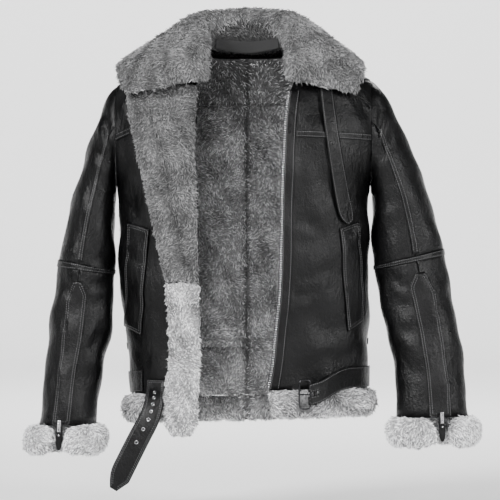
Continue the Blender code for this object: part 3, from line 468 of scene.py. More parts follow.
def leather_finish():
    look = bpy.context.scene.leather_look
    made, nodes, links, surface = new_material("black_leather")
    colour = tuple(look.colour)
    worn = tuple(min(1.0, WORN_TIMES * part + WORN_PLUS) for part in colour)
    patches = ranged(nodes, links, object_noise(nodes, links, 16.0), 0.0, 1.0, 0.42, 0.72)
    links.new(blended(nodes, links, patches, colour, worn), surface.inputs["Base Color"])
    sheen = object_noise(nodes, links, 34.0, 6.0, 0.6)
    rough = ranged(nodes, links, sheen, look.roughness - SMOOTHER, look.roughness + ROUGHER)
    links.new(rough, surface.inputs["Roughness"])
    surface.inputs["Specular IOR Level"].default_value = 0.15
    relief = None
    for wrinkle in WRINKLES:
        noise = object_noise(nodes, links, wrinkle.scale, wrinkle.detail, wrinkle.rough, wrinkle.stretch)
        relief = bumped(nodes, links, noise, wrinkle.strength, wrinkle.depth, relief)
    grain = bumped(nodes, links, pores(nodes, links, look.grain), PORE_STRENGTH, PORE_DEPTH, relief)
    links.new(grain, surface.inputs["Normal"])
    return made


def dark_cloth_and_hole_shade_finish():
    """The dark cloth of the bare patch inside the neck, and the dark disc in an eyelet's hole, which is
    painted shade.
    """
    made, nodes, links, surface = new_material("dark_cloth_and_hole_shade")
    weave = object_noise(nodes, links, 900.0, 3.0, 0.7)
    tone = ranged(nodes, links, weave, 0.0, 1.0)
    colour = blended(nodes, links, tone, *DARK_CLOTH_AND_HOLE_SHADE_COLOURS)
    links.new(colour, surface.inputs["Base Color"])
    surface.inputs["Roughness"].default_value = 0.86
    surface.inputs["Sheen Weight"].default_value = 0.04
    links.new(bumped(nodes, links, weave, 0.5, 0.0006), surface.inputs["Normal"])
    return made


def shaded(nodes, links, plain):
    """A colour made lighter or darker by the piece's shade attribute, which carries the pile's uneven tone
    and dark seams with painted shade and light.
    """
    shade = nodes.new("ShaderNodeAttribute")
    shade.attribute_name = "shade"
    brightness = nodes.new("ShaderNodeVectorMath")
    brightness.operation = "SCALE"
    links.new(plain, brightness.inputs[0])
    links.new(shade.outputs["Fac"], brightness.inputs["Scale"])
    return brightness.outputs["Vector"]


def pile_ground():
    """The dense pile under the locks, in a random tone from the root colour to a dimmed tip colour: painted
    shade under the locks.
    """
    look = bpy.context.scene.pile_look
    made, nodes, links, surface = new_material("pile_ground")
    dark, light = np.array(look.dark), np.array(look.light)
    tone = ranged(nodes, links, object_noise(nodes, links, 260.0, 6.0, 0.72), 0.0, 1.0, 0.34, 0.66)
    plain = blended(nodes, links, tone, tuple(dark * 0.9), tuple(light * 0.55))
    links.new(shaded(nodes, links, plain), surface.inputs["Base Color"])
    surface.inputs["Roughness"].default_value = 0.95
    surface.inputs["Specular IOR Level"].default_value = 0.15
    surface.inputs["Sheen Weight"].default_value = 0.12
    surface.inputs["Sheen Roughness"].default_value = 0.5
    curls = bumped(nodes, links, object_noise(nodes, links, 150.0, 5.0, 0.65), 0.7, 0.006)
    fibres = bumped(nodes, links, object_noise(nodes, links, 700.0, 3.0, 0.6), 0.6, 0.0016, curls)
    links.new(fibres, surface.inputs["Normal"])
    return made


def pile_locks():
    """The locks, darker at their roots by painted shade, in patches of lighter and darker grey."""
    look = bpy.context.scene.pile_look
    made, nodes, links, surface = new_material("pile_locks")
    tip = nodes.new("ShaderNodeAttribute")
    tip.attribute_name = "tip"
    rooted = ranged(nodes, links, tip.outputs["Fac"], 0.0, 1.0, -0.10, 0.75)
    dark, light = np.array(look.dark), np.array(look.light)
    plain = blended(nodes, links, rooted, tuple(dark), tuple(light))
    links.new(shaded(nodes, links, plain), surface.inputs["Base Color"])
    surface.inputs["Roughness"].default_value = 0.85
    surface.inputs["Specular IOR Level"].default_value = 0.2
    surface.inputs["Sheen Weight"].default_value = 0.12
    surface.inputs["Sheen Roughness"].default_value = 0.45
    return made


def metal_finish():
    return metal("polished_metal", bpy.context.scene.metal_look.colour)


def dark_metal_finish():
    return metal("dark_metal", bpy.context.scene.metal_look.dark)


def metal(name, colour):
    made, nodes, links, surface = new_material(name)
    tone = ranged(nodes, links, object_noise(nodes, links, 300.0), 0.0, 1.0)
    dull = tuple(0.8 * part for part in colour)
    links.new(blended(nodes, links, tone, dull, tuple(colour)), surface.inputs["Base Color"])
    surface.inputs["Metallic"].default_value = 1.0
    scratches = object_noise(nodes, links, 900.0, 2.0, 0.5, (1.0, 1.0, 0.1))
    links.new(ranged(nodes, links, scratches, 0.16, 0.34), surface.inputs["Roughness"])
    links.new(bumped(nodes, links, scratches, 0.15, 0.0002), surface.inputs["Normal"])
    return made


def thread_finish():
    made, nodes, links, surface = new_material("sewing_thread")
    twist = object_noise(nodes, links, 1600.0, 2.0, 0.5)
    tone = ranged(nodes, links, twist, 0.0, 1.0)
    links.new(blended(nodes, links, tone, *THREAD_COLOURS), surface.inputs["Base Color"])
    surface.inputs["Roughness"].default_value = 0.4
    links.new(bumped(nodes, links, twist, 0.4, 0.0003), surface.inputs["Normal"])
    return made


def tape_finish():
    """The woven tape that carries a zip's teeth."""
    made, nodes, links, surface = new_material("zip_tape")
    place = nodes.new("ShaderNodeTexCoord")
    weave = nodes.new("ShaderNodeTexWave")
    weave.inputs["Scale"].default_value = 420.0
    weave.inputs["Distortion"].default_value = 0.6
    weave.bands_direction = "Z"
    links.new(place.outputs["Object"], weave.inputs["Vector"])
    colour = blended(nodes, links, weave.outputs["Fac"], *ZIP_TAPE_COLOURS)
    links.new(colour, surface.inputs["Base Color"])
    surface.inputs["Roughness"].default_value = 0.8
    links.new(bumped(nodes, links, weave.outputs["Fac"], 0.5, 0.0004), surface.inputs["Normal"])
    return made


FINISHES = {
    "black_leather": leather_finish,
    "dark_cloth_and_hole_shade": dark_cloth_and_hole_shade_finish,
    "pile_ground": pile_ground,
    "pile_locks": pile_locks,
    "polished_metal": metal_finish,
    "dark_metal": dark_metal_finish,
    "sewing_thread": thread_finish,
    "zip_tape": tape_finish,
}


def material(name):
    return bpy.data.materials.get(name) or FINISHES[name]()


# Where the way out of the jacket points, and the creases


TORSO_KEYS = np.array([row.z for row in TORSO])
TORSO_SIZES = np.array([row[1:] for row in TORSO])


def body_sizes(points):
    """Half width and depth of the body's oval at each point, on the point's own side."""
    z = points[:, 2]
    right, left, front, back = (np.interp(z, TORSO_KEYS, TORSO_SIZES[:, column]) for column in range(4))
    return np.where(points[:, 0] > 0, left, right), np.where(points[:, 1] < 0, front, back)


def body_offset(points):
    """How far each point stands outside the leather of the body, in metres."""
    wide, deep = body_sizes(points)
    across, along = np.abs(points[:, 0] / wide), np.abs(points[:, 1] / deep)
    reach = (across**BODY_ROUND + along**BODY_ROUND) ** (1 / BODY_ROUND)
    slant = across ** (BODY_ROUND - 1) / wide, along ** (BODY_ROUND - 1) / deep
    steep = np.hypot(*slant) * np.maximum(reach, 1e-6) ** (1 - BODY_ROUND)
    return (reach - 1) / np.maximum(steep, 1e-6)


def body_out(points):
    wide, deep = body_sizes(points)
    out = np.stack(
        (
            np.copysign(np.abs(points[:, 0] / wide) ** (BODY_ROUND - 1) / wide, points[:, 0]),
            np.copysign(np.abs(points[:, 1] / deep) ** (BODY_ROUND - 1) / deep, points[:, 1]),
            np.zeros(len(points)),
        ),
        axis=1,
    )
    return out / np.linalg.norm(out, axis=1, keepdims=True)


def sleeve_middle(points, side):
    """The nearest point of the sleeve's middle line to each point."""
    line = np.array(SLEEVE_LINE[side])
    best, nearest = np.full(len(points), np.inf), np.zeros_like(points)
    for start, end in zip(line, line[1:]):
        way = end - start
        share = np.clip((points - start) @ way / (way @ way), 0, 1)
        foot = start + share[:, None] * way
        gap = np.linalg.norm(points - foot, axis=1)
        closer = gap < best
        best[closer], nearest[closer] = gap[closer], foot[closer]
    return nearest


def sleeve_out(points, side):
    out = points - sleeve_middle(points, side)
    return out / np.maximum(np.linalg.norm(out, axis=1, keepdims=True), 1e-9)


# Creases, each a soft trough along a line seen from the front or the back. Depths are in metres; a
# negative one is a ridge.
Crease = namedtuple("Crease", "face depth width line")
FRONT, BACK = -1, 1
BODY_CREASES = (
    Crease(FRONT, 0.0042, 0.0075, ((0.076, -0.300), (0.104, -0.304), (0.134, -0.316))),
    Crease(FRONT, -0.0032, 0.0090, ((0.080, -0.318), (0.106, -0.322), (0.132, -0.333))),
    Crease(FRONT, 0.0036, 0.0080, ((0.080, -0.413), (0.122, -0.404), (0.170, -0.386))),
    Crease(FRONT, -0.0030, 0.0095, ((0.082, -0.427), (0.122, -0.420), (0.160, -0.405))),
    Crease(FRONT, 0.0042, 0.0070, ((0.080, -0.442), (0.104, -0.436), (0.130, -0.423))),
    Crease(FRONT, -0.0026, 0.0080, ((0.078, -0.456), (0.108, -0.452), (0.140, -0.440))),
    Crease(FRONT, 0.0030, 0.0110, ((0.092, -0.170), (0.098, -0.214), (0.094, -0.262))),
    Crease(FRONT, 0.0038, 0.0085, ((0.222, -0.290), (0.202, -0.304), (0.188, -0.330))),
    Crease(FRONT, -0.0030, 0.0085, ((0.224, -0.306), (0.206, -0.318), (0.194, -0.345))),
    Crease(FRONT, 0.0036, 0.0080, ((0.226, -0.252), (0.204, -0.262), (0.180, -0.258))),
    Crease(FRONT, 0.0030, 0.0120, ((0.112, -0.480), (0.150, -0.500), (0.196, -0.494))),
    Crease(FRONT, -0.0026, 0.0110, ((0.100, -0.545), (0.140, -0.528), (0.180, -0.540))),
    Crease(FRONT, 0.0034, 0.0080, ((0.212, -0.520), (0.190, -0.545), (0.168, -0.553))),
    Crease(FRONT, 0.0036, 0.0085, ((-0.236, -0.262), (-0.214, -0.274), (-0.196, -0.300))),
    Crease(FRONT, -0.0030, 0.0090, ((-0.238, -0.280), (-0.216, -0.293), (-0.198, -0.318))),
    Crease(FRONT, 0.0034, 0.0095, ((-0.226, -0.352), (-0.204, -0.372), (-0.180, -0.380))),
    Crease(FRONT, 0.0032, 0.0110, ((-0.226, -0.440), (-0.200, -0.456), (-0.160, -0.452))),
    Crease(FRONT, -0.0026, 0.0110, ((-0.222, -0.470), (-0.196, -0.486), (-0.160, -0.478))),
    Crease(FRONT, 0.0034, 0.0090, ((-0.214, -0.522), (-0.196, -0.546), (-0.172, -0.556))),
    Crease(BACK, 0.0044, 0.0110, ((0.222, -0.240), (0.182, -0.268), (0.128, -0.276))),
    Crease(BACK, -0.0034, 0.0110, ((0.222, -0.262), (0.186, -0.292), (0.134, -0.302))),
    Crease(BACK, 0.0040, 0.0090, ((0.226, -0.292), (0.196, -0.318), (0.162, -0.322))),
    Crease(BACK, 0.0044, 0.0105, ((-0.232, -0.236), (-0.192, -0.262), (-0.142, -0.284))),
    Crease(BACK, -0.0034, 0.0100, ((-0.234, -0.258), (-0.196, -0.284), (-0.150, -0.304))),
    Crease(BACK, 0.0038, 0.0090, ((-0.236, -0.300), (-0.204, -0.330), (-0.170, -0.330))),
    Crease(BACK, 0.0034, 0.0130, ((0.200, -0.140), (0.160, -0.180), (0.140, -0.240))),
    Crease(BACK, 0.0034, 0.0130, ((-0.214, -0.146), (-0.172, -0.184), (-0.158, -0.250))),
    Crease(BACK, 0.0038, 0.0120, ((0.216, -0.440), (0.150, -0.456), (0.060, -0.446))),
    Crease(BACK, -0.0030, 0.0130, ((0.210, -0.466), (0.150, -0.484), (0.070, -0.476))),
    Crease(BACK, 0.0036, 0.0120, ((-0.222, -0.426), (-0.160, -0.446), (-0.080, -0.440))),
    Crease(BACK, -0.0030, 0.0120, ((-0.220, -0.452), (-0.150, -0.474), (-0.060, -0.462))),
    Crease(BACK, 0.0034, 0.0120, ((0.120, -0.370), (0.070, -0.388), (0.016, -0.380))),
    Crease(BACK, 0.0034, 0.0120, ((-0.024, -0.352), (-0.080, -0.374), (-0.132, -0.366))),
    Crease(BACK, 0.0032, 0.0110, ((0.196, -0.548), (0.150, -0.572), (0.100, -0.570))),
    Crease(BACK, 0.0032, 0.0110, ((-0.190, -0.552), (-0.130, -0.566), (-0.070, -0.580))),
)
SLEEVE_CREASES = {
    LEFT: (
        Crease(FRONT, 0.0050, 0.0070, ((0.232, -0.148), (0.245, -0.120), (0.250, -0.082))),
        Crease(FRONT, -0.0034, 0.0070, ((0.240, -0.166), (0.254, -0.138), (0.262, -0.098))),
        Crease(FRONT, 0.0040, 0.0070, ((0.236, -0.196), (0.256, -0.172), (0.272, -0.134))),
        Crease(FRONT, 0.0042, 0.0080, ((0.234, -0.286), (0.252, -0.268), (0.284, -0.262))),
        Crease(FRONT, -0.0030, 0.0080, ((0.234, -0.304), (0.256, -0.288), (0.290, -0.284))),
        Crease(FRONT, 0.0038, 0.0080, ((0.346, -0.300), (0.322, -0.310), (0.300, -0.332))),
        Crease(FRONT, 0.0054, 0.0065, ((0.262, -0.404), (0.276, -0.418), (0.300, -0.420))),
        Crease(FRONT, -0.0042, 0.0075, ((0.262, -0.422), (0.280, -0.436), (0.302, -0.440))),
        Crease(FRONT, 0.0052, 0.0065, ((0.268, -0.444), (0.286, -0.458), (0.306, -0.456))),
        Crease(FRONT, 0.0050, 0.0065, ((0.368, -0.398), (0.350, -0.412), (0.330, -0.412))),
        Crease(FRONT, -0.0036, 0.0070, ((0.370, -0.418), (0.352, -0.430), (0.334, -0.432))),
        Crease(FRONT, 0.0042, 0.0080, ((0.372, -0.444), (0.356, -0.462), (0.338, -0.470))),
        Crease(FRONT, 0.0044, 0.0080, ((0.272, -0.494), (0.292, -0.506), (0.318, -0.500))),
        Crease(FRONT, -0.0032, 0.0085, ((0.272, -0.514), (0.294, -0.526), (0.318, -0.522))),
        Crease(FRONT, 0.0044, 0.0075, ((0.276, -0.560), (0.300, -0.576), (0.322, -0.572))),
        Crease(FRONT, -0.0030, 0.0080, ((0.276, -0.580), (0.300, -0.594), (0.322, -0.592))),
        Crease(FRONT, 0.0040, 0.0075, ((0.396, -0.566), (0.380, -0.582), (0.360, -0.590))),
        Crease(BACK, 0.0052, 0.0085, ((0.236, -0.372), (0.290, -0.390), (0.352, -0.376))),
        Crease(BACK, 0.0054, 0.0085, ((0.246, -0.408), (0.296, -0.424), (0.366, -0.410))),
        Crease(BACK, -0.0040, 0.0085, ((0.244, -0.390), (0.300, -0.406), (0.360, -0.393))),
        Crease(BACK, 0.0048, 0.0085, ((0.254, -0.448), (0.300, -0.462), (0.360, -0.450))),
        Crease(BACK, 0.0048, 0.0080, ((0.234, -0.190), (0.256, -0.160), (0.270, -0.118))),
        Crease(BACK, 0.0040, 0.0090, ((0.232, -0.250), (0.262, -0.230), (0.300, -0.240))),
        Crease(BACK, 0.0040, 0.0090, ((0.272, -0.540), (0.310, -0.556), (0.372, -0.546))),
        Crease(BACK, 0.0036, 0.0090, ((0.280, -0.600), (0.320, -0.612), (0.384, -0.600))),
    ),
    RIGHT: (
        Crease(FRONT, 0.0050, 0.0070, ((-0.246, -0.152), (-0.258, -0.126), (-0.262, -0.092))),
        Crease(FRONT, -0.0034, 0.0070, ((-0.250, -0.174), (-0.266, -0.146), (-0.270, -0.110))),
        Crease(FRONT, 0.0044, 0.0075, ((-0.248, -0.206), (-0.266, -0.182), (-0.284, -0.164))),
        Crease(FRONT, -0.0030, 0.0080, ((-0.250, -0.226), (-0.270, -0.204), (-0.290, -0.190))),
        Crease(FRONT, 0.0036, 0.0090, ((-0.300, -0.214), (-0.286, -0.250), (-0.292, -0.286))),
        Crease(FRONT, 0.0052, 0.0065, ((-0.248, -0.384), (-0.264, -0.372), (-0.282, -0.378))),
        Crease(FRONT, 0.0054, 0.0065, ((-0.250, -0.414), (-0.272, -0.420), (-0.292, -0.410))),
        Crease(FRONT, -0.0040, 0.0070, ((-0.248, -0.400), (-0.270, -0.402), (-0.290, -0.396))),
        Crease(FRONT, 0.0048, 0.0070, ((-0.254, -0.444), (-0.274, -0.456), (-0.290, -0.446))),
        Crease(FRONT, 0.0050, 0.0065, ((-0.346, -0.410), (-0.330, -0.424), (-0.318, -0.440))),
        Crease(FRONT, -0.0036, 0.0070, ((-0.350, -0.430), (-0.334, -0.444), (-0.322, -0.458))),
        Crease(FRONT, 0.0040, 0.0075, ((-0.352, -0.466), (-0.338, -0.482), (-0.330, -0.504))),
        Crease(FRONT, 0.0044, 0.0080, ((-0.258, -0.500), (-0.276, -0.520), (-0.290, -0.548))),
        Crease(FRONT, -0.0034, 0.0085, ((-0.266, -0.490), (-0.288, -0.510), (-0.302, -0.538))),
        Crease(FRONT, 0.0042, 0.0075, ((-0.270, -0.572), (-0.290, -0.586), (-0.308, -0.580))),
        Crease(FRONT, 0.0040, 0.0080, ((-0.366, -0.560), (-0.352, -0.584), (-0.346, -0.612))),
        Crease(BACK, 0.0052, 0.0085, ((-0.248, -0.386), (-0.290, -0.402), (-0.336, -0.390))),
        Crease(BACK, 0.0054, 0.0085, ((-0.252, -0.422), (-0.296, -0.438), (-0.342, -0.428))),
        Crease(BACK, -0.0040, 0.0085, ((-0.250, -0.404), (-0.292, -0.420), (-0.338, -0.409))),
        Crease(BACK, 0.0048, 0.0085, ((-0.258, -0.462), (-0.300, -0.474), (-0.344, -0.464))),
        Crease(BACK, 0.0048, 0.0080, ((-0.248, -0.196), (-0.266, -0.166), (-0.274, -0.126))),
        Crease(BACK, 0.0040, 0.0090, ((-0.246, -0.256), (-0.268, -0.240), (-0.300, -0.248))),
        Crease(BACK, 0.0040, 0.0090, ((-0.270, -0.548), (-0.306, -0.566), (-0.356, -0.554))),
        Crease(BACK, 0.0036, 0.0090, ((-0.278, -0.612), (-0.312, -0.626), (-0.362, -0.614))),
    ),
}
CREASE_TAPER = 0.30  # the share of a crease's length over which each end fades


def crease_depth(points, creases, front_share):
    """How far each point sinks under the creases near it."""
    depth = np.zeros(len(points))
    flat = points[:, (0, 2)]
    for crease in creases:
        line = np.array(crease.line)
        steps = np.linalg.norm(np.diff(line, axis=0), axis=1)
        run = np.concatenate(([0], np.cumsum(steps))) / steps.sum()
        gap, along = np.full(len(points), np.inf), np.zeros(len(points))
        for number, (start, end) in enumerate(zip(line, line[1:])):
            way = end - start
            share = np.clip((flat - start) @ way / (way @ way), 0, 1)
            away = np.linalg.norm(flat - start - share[:, None] * way, axis=1)
            closer = away < gap
            gap[closer] = away[closer]
            along[closer] = (run[number] + share * (run[number + 1] - run[number]))[closer]
        ends = np.clip(np.minimum(along, 1 - along) / CREASE_TAPER, 0, 1)
        faded = ends * ends * (3 - 2 * ends)
        facing = front_share if crease.face == FRONT else 1 - front_share
        depth += crease.depth * np.exp(-((gap / crease.width) ** 2)) * faded * facing
    return depth


SOFT_WAVES = (  # shallow unevenness of the leather: ways of three waves, and the height
    ((31.0, 12.0, 23.0), 0.0017),
    ((-17.0, 29.0, 41.0), 0.0011),
    ((53.0, -21.0, 15.0), 0.0005),
)
WAVES_SUNK = 0.5  # how far the waves lie inward, as a share of their height
WAVES_CLOSE = 2  # how much closer together the waves are than their ways say
DEEPEST = 0.0062  # no point sinks further than this
SPLIT_SOFT = 0.02  # over this depth a crease fades from the front to the back


def leather_shift(points, side=None):
    """How creases and soft unevenness move points on the body's or a sleeve's leather."""
    look = bpy.context.scene.leather_look
    if side is None:
        out, creases, middle = body_out(points), BODY_CREASES, 0.0
    else:
        out, creases = sleeve_out(points, side), SLEEVE_CREASES[side]
        middle = sleeve_middle(points, side)[:, 1]
    front_share = np.clip(0.5 - (points[:, 1] - middle) / SPLIT_SOFT, 0, 1)
    depth = crease_depth(points, creases, front_share) * look.creasing
    for ways, height in SOFT_WAVES:
        depth += height * (WAVES_SUNK + np.sin(points @ np.array(ways) * WAVES_CLOSE + ways[0]))
    return -out * (DEEPEST * np.tanh(depth / DEEPEST))[:, None]


# Making pieces


FLAT_QUAD, SQUARE_QUAD = math.radians(35), math.radians(60)  # two triangles within these become a quad


def solid_copy(node):
    """A node's solid as quads that share their corners."""
    mesh = bmesh.new()
    mesh.from_mesh(frame["nodes"][node].data)
    bmesh.ops.remove_doubles(mesh, verts=mesh.verts, dist=WELD)
    bmesh.ops.join_triangles(
        mesh,
        faces=mesh.faces,
        angle_face_threshold=FLAT_QUAD,
        angle_shape_threshold=SQUARE_QUAD,
    )
    return mesh


def mesh_data(name, mesh):
    """Mesh data made from a bmesh, which is freed."""
    data = bpy.data.meshes.new(name)
    mesh.to_mesh(data)
    mesh.free()
    return data


def facing(place, out):
    """The matrix that moves a shape to a place and turns its Z outward."""
    return Matrix.Translation(place) @ out.to_track_quat("Z", "Y").to_matrix().to_4x4()


def forward(way):
    """The way or its opposite, whichever points to the jacket's front."""
    return way if way.y < 0 else -way


def subdivided(name, mesh, levels, keep_edges=True):
    """The mesh as a smooth surface; its sharp edges stay where keep_edges is set."""
    if keep_edges:
        layer = mesh.edges.layers.float.new("crease_edge")
        corner = mesh.verts.layers.float.new("crease_vert")
        for edge in mesh.edges:
            if edge.calc_face_angle(0.0) > SHARP:
                edge[layer] = 1.0
        for vert in mesh.verts:
            held = [edge.other_vert(vert).co - vert.co for edge in vert.link_edges if edge[layer]]
            if len(held) == 2 and held[0].angle(held[1]) < math.pi - CORNER:
                vert[corner] = 1.0
    data = mesh_data(name, mesh)
    cage = bpy.data.objects.new(name, data)
    bpy.context.scene.collection.objects.link(cage)
    smooth = cage.modifiers.new("Smooth", "SUBSURF")
    smooth.levels = smooth.render_levels = levels
    made = bpy.data.meshes.new_from_object(cage.evaluated_get(bpy.context.evaluated_depsgraph_get()))
    bpy.data.objects.remove(cage)
    bpy.data.meshes.remove(data)
    made.name = name
    return made


def corners(data):
    points = np.empty(len(data.vertices) * 3)
    data.vertices.foreach_get("co", points)
    return points.reshape(-1, 3)


def put_corners(data, points):
    data.vertices.foreach_set("co", np.ascontiguousarray(points).ravel())
    data.update()


def face_values(data, kind):
    values = np.empty(len(data.polygons) * 3)
    data.polygons.foreach_get(kind, values)
    return values.reshape(-1, 3)


def corner_ways(data):
    ways = np.empty(len(data.vertices) * 3)
    data.vertex_normals.foreach_get("vector", ways)
    return ways.reshape(-1, 3)


def piece(name, data, finishes, body=JACKET, nodes=()):
    """A finished piece of the jacket that rides on a body and stands for its nodes."""
    for finish in finishes:
        data.materials.append(material(finish))
    data.shade_smooth()
    data.set_sharp_from_angle(angle=SHARP)
    made = bpy.data.objects.new(name, data)
    bpy.context.scene.collection.objects.link(made)
    if nodes:
        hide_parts(*nodes)
    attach(made, body)
    return made


ARMHOLE = {LEFT: 0.2275, RIGHT: 0.2405}
ARMHOLE_FADE = 0.014
ARMHOLE_LOW = -0.250
SHOULDER_TOP = -0.056
WALL_IN, LEATHER_FROM, LEATHER_TO = 0.010, -0.0030, 0.0057
LEATHER_LEVELS = 2
# Leather faces outward by at least this: on the shoulders in metres from the torso's middle, and on the
# sleeves as a share of straight out
SHOULDER_LEAN, SLEEVE_LEAN = -0.02, -0.3
TORSO_MIDDLE = np.array((0.0, 0.0, -0.150))
CENTRE_GAP, CENTRE_LAP = 0.0012, -0.25  # the back's halves lap a little over their seam


def armhole_fade(points, outward):
    """0 at the armholes and 1 away from them, on the body or on the sleeve."""
    limit = np.where(points[:, 0] > 0, ARMHOLE[LEFT], ARMHOLE[RIGHT])
    gap = np.abs(points[:, 0]) - limit
    fade = np.clip((gap if outward else -gap) / ARMHOLE_FADE, 0, 1)
    return np.where(points[:, 2] > ARMHOLE_LOW, fade, 1.0)


def body_leather_faces(data):
    """Which faces of a body's wall are leather: those at the surface, and not those of the pile."""
    centres, ways = face_values(data, "center"), face_values(data, "normal")
    offset = body_offset(centres)
    leather = (offset > LEATHER_FROM) & (offset < LEATHER_TO)
    on_shoulder = ((centres - TORSO_MIDDLE) * ways).sum(axis=1) > SHOULDER_LEAN
    return np.where(centres[:, 2] > SHOULDER_TOP, on_shoulder, leather)


def shell(node, side=None):
    """A piece of leather with its pile inside, on its solid's form, with its creases."""
    data = subdivided(f"{node}_leather", solid_copy(node), LEATHER_LEVELS)
    points = corners(data)
    if side is None:
        leather = body_leather_faces(data)
        faded = armhole_fade(points, False)
        offset = body_offset(points)
        skin = np.where(offset < LEATHER_TO / 2, np.clip(1 + offset / WALL_IN, 0, 1), 0.0)
        skin = np.where(points[:, 2] > SHOULDER_TOP, 1.0, skin)
    else:
        out = sleeve_out(face_values(data, "center"), side)
        leather = (face_values(data, "normal") * out).sum(axis=1) > SLEEVE_LEAN
        faded = armhole_fade(points, True)
        skin = np.ones(len(points))
    points = points + leather_shift(points, side) * (faded * skin)[:, None]
    if node.startswith("back"):
        middle = np.abs(points[:, 0]) < CENTRE_GAP
        points[middle, 0] *= CENTRE_LAP
    put_corners(data, points)
    data.polygons.foreach_set("material_index", np.where(leather, 0, 1).astype(np.int32))
    made = piece(f"{node}_leather", data, ("black_leather", "pile_ground"), nodes=(node,))
    return made


def trim(node, side=None, finish="black_leather", moves=True):
    """A tape, strip, strap or patch; where moves is set it follows the leather under it."""
    data = subdivided(f"{node}_leather", solid_copy(node), LEATHER_LEVELS)
    if moves:
        points = corners(data)
        faded = armhole_fade(points, side is not None)
        put_corners(data, points + leather_shift(points, side) * faded[:, None])
    made = piece(f"{node}_leather", data, (finish,), nodes=(node,))
    return made


# Things repeated many times


def template(mesh):
    """Corners and triangles of a small shape, which is freed."""
    bmesh.ops.triangulate(mesh, faces=mesh.faces)
    mesh.verts.index_update()
    points = np.array([vert.co for vert in mesh.verts])
    faces = np.array([[vert.index for vert in face.verts] for face in mesh.faces])
    mesh.free()
    return points, faces


def repeated(name, shape, places, turns, values=None):
    """One mesh of a small shape at many places; each turn's columns are its three axes with their sizes."""
    points, faces = shape
    count = len(places)
    moved = np.einsum("nij,kj->nki", turns, points) + places[:, None, :]
    everywhere = faces[None] + (np.arange(count) * len(points))[:, None, None]
    data = bpy.data.meshes.new(name)
    data.vertices.add(count * len(points))
    data.loops.add(count * faces.size)
    data.polygons.add(count * len(faces))
    data.vertices.foreach_set("co", moved.ravel())
    data.loops.foreach_set("vertex_index", everywhere.ravel().astype(np.int32))
    data.polygons.foreach_set("loop_start", np.arange(0, count * faces.size, 3, dtype=np.int32))
    for attribute, value in (values or {}).items():
        layer = data.attributes.new(attribute, "FLOAT", "POINT")
        layer.data.foreach_set("value", np.ascontiguousarray(value, dtype=np.float32).ravel())
    data.update(calc_edges=True)
    return data


def unit(ways):
    return ways / np.maximum(np.linalg.norm(ways, axis=-1, keepdims=True), 1e-9)


def turned_to(ahead, out):
    """Turns whose X runs ahead and whose Z points out."""
    ahead = unit(ahead - out * (ahead * out).sum(axis=1, keepdims=True))
    return np.stack((ahead, np.cross(out, ahead), out), axis=2)


OUTER_FACING = 0.5  # a thin piece's outer faces point at least this far outward
CORNER_TURN = math.radians(38)  # a border that turns more than this is broken there
RUN_LEAST = 0.015


def border_runs(data, outward, least=RUN_LEAST):
    """The borders of a thin piece's outer face, broken at corners: points, ways inward, ways out."""
    mesh = bmesh.new()
    mesh.from_mesh(data)
    mesh.faces.ensure_lookup_table()
    centres = np.array([face.calc_center_median() for face in mesh.faces])
    ways = np.array([face.normal for face in mesh.faces])
    outer = (ways * outward(centres)).sum(axis=1) > OUTER_FACING
    after = {}
    for edge in mesh.edges:
        faces = [face for face in edge.link_faces if outer[face.index]]
        if len(faces) != 1:
            continue
        loop = next(loop for loop in edge.link_loops if loop.face is faces[0])
        after[loop.vert.index] = (loop.link_loop_next.vert.index, faces[0].index)
    mesh.verts.ensure_lookup_table()
    runs, left = [], dict(after)
    while left:
        first = next(iter(left))
        chain, way_out, here = [first], [], first
        while here in left:
            here, face = left.pop(here)
            chain.append(here)
            way_out.append(ways[face])
        points = np.array([mesh.verts[number].co for number in chain])
        steps = unit(np.diff(points, axis=0))
        normals = np.array(way_out)
        inward = np.cross(normals, steps)
        turn = (steps[1:] * steps[:-1]).sum(axis=1) < math.cos(CORNER_TURN)
        breaks = [0, *(np.nonzero(turn)[0] + 1), len(steps)]
        for start, end in zip(breaks, breaks[1:]):
            length = np.linalg.norm(np.diff(points[start : end + 1], axis=0), axis=1).sum()
            if length > least:
                runs.append((points[start : end + 1], inward[start:end], normals[start:end]))
    mesh.free()
    return runs


def along_run(run, inset, pitch, lift=0.0, trim_by=None):
    """Even places on a line that runs beside a border: places, ways ahead, ways out."""
    points, inward, normals = run
    middles = (points[1:] + points[:-1]) / 2 + inward * inset + normals * lift
    line = np.concatenate((
        points[:1] + inward[:1] * inset + normals[:1] * lift,
        middles,
        points[-1:] + inward[-1:] * inset + normals[-1:] * lift,
    ))
    outs = np.concatenate((normals[:1], normals, normals[-1:]))
    return even_places(line, outs, pitch, inset if trim_by is None else trim_by)


PITCH_REACH = 0.4  # a repeated shape points along this share of a pitch, before it and after it


def spread(where, run, rows):
    """Rows read between the ones that are known, at some distances along a run."""
    return np.stack([np.interp(where, run, rows[:, axis]) for axis in range(3)], axis=1)


def even_places(line, outs, pitch, trim_by):
    """Even places on a line, short of its ends: places, ways ahead, ways out."""
    steps = np.linalg.norm(np.diff(line, axis=0), axis=1)
    run = np.concatenate(([0], np.cumsum(steps)))
    room = run[-1] - 2 * trim_by
    if room < pitch:
        return np.empty((0, 3)), np.empty((0, 3)), np.empty((0, 3))
    where = trim_by + (np.arange(int(room / pitch)) + 0.5) * room / int(room / pitch)
    ahead = spread(np.clip(where + pitch * PITCH_REACH, 0, run[-1]), run, line)
    behind = spread(np.clip(where - pitch * PITCH_REACH, 0, run[-1]), run, line)
    return spread(where, run, line), unit(ahead - behind), unit(spread(where, run, outs))


# A stitch's length as a share of the pitch, and its height as a share of the thread's thickness
STITCH_LONG, STITCH_TALL = 0.72, 0.9


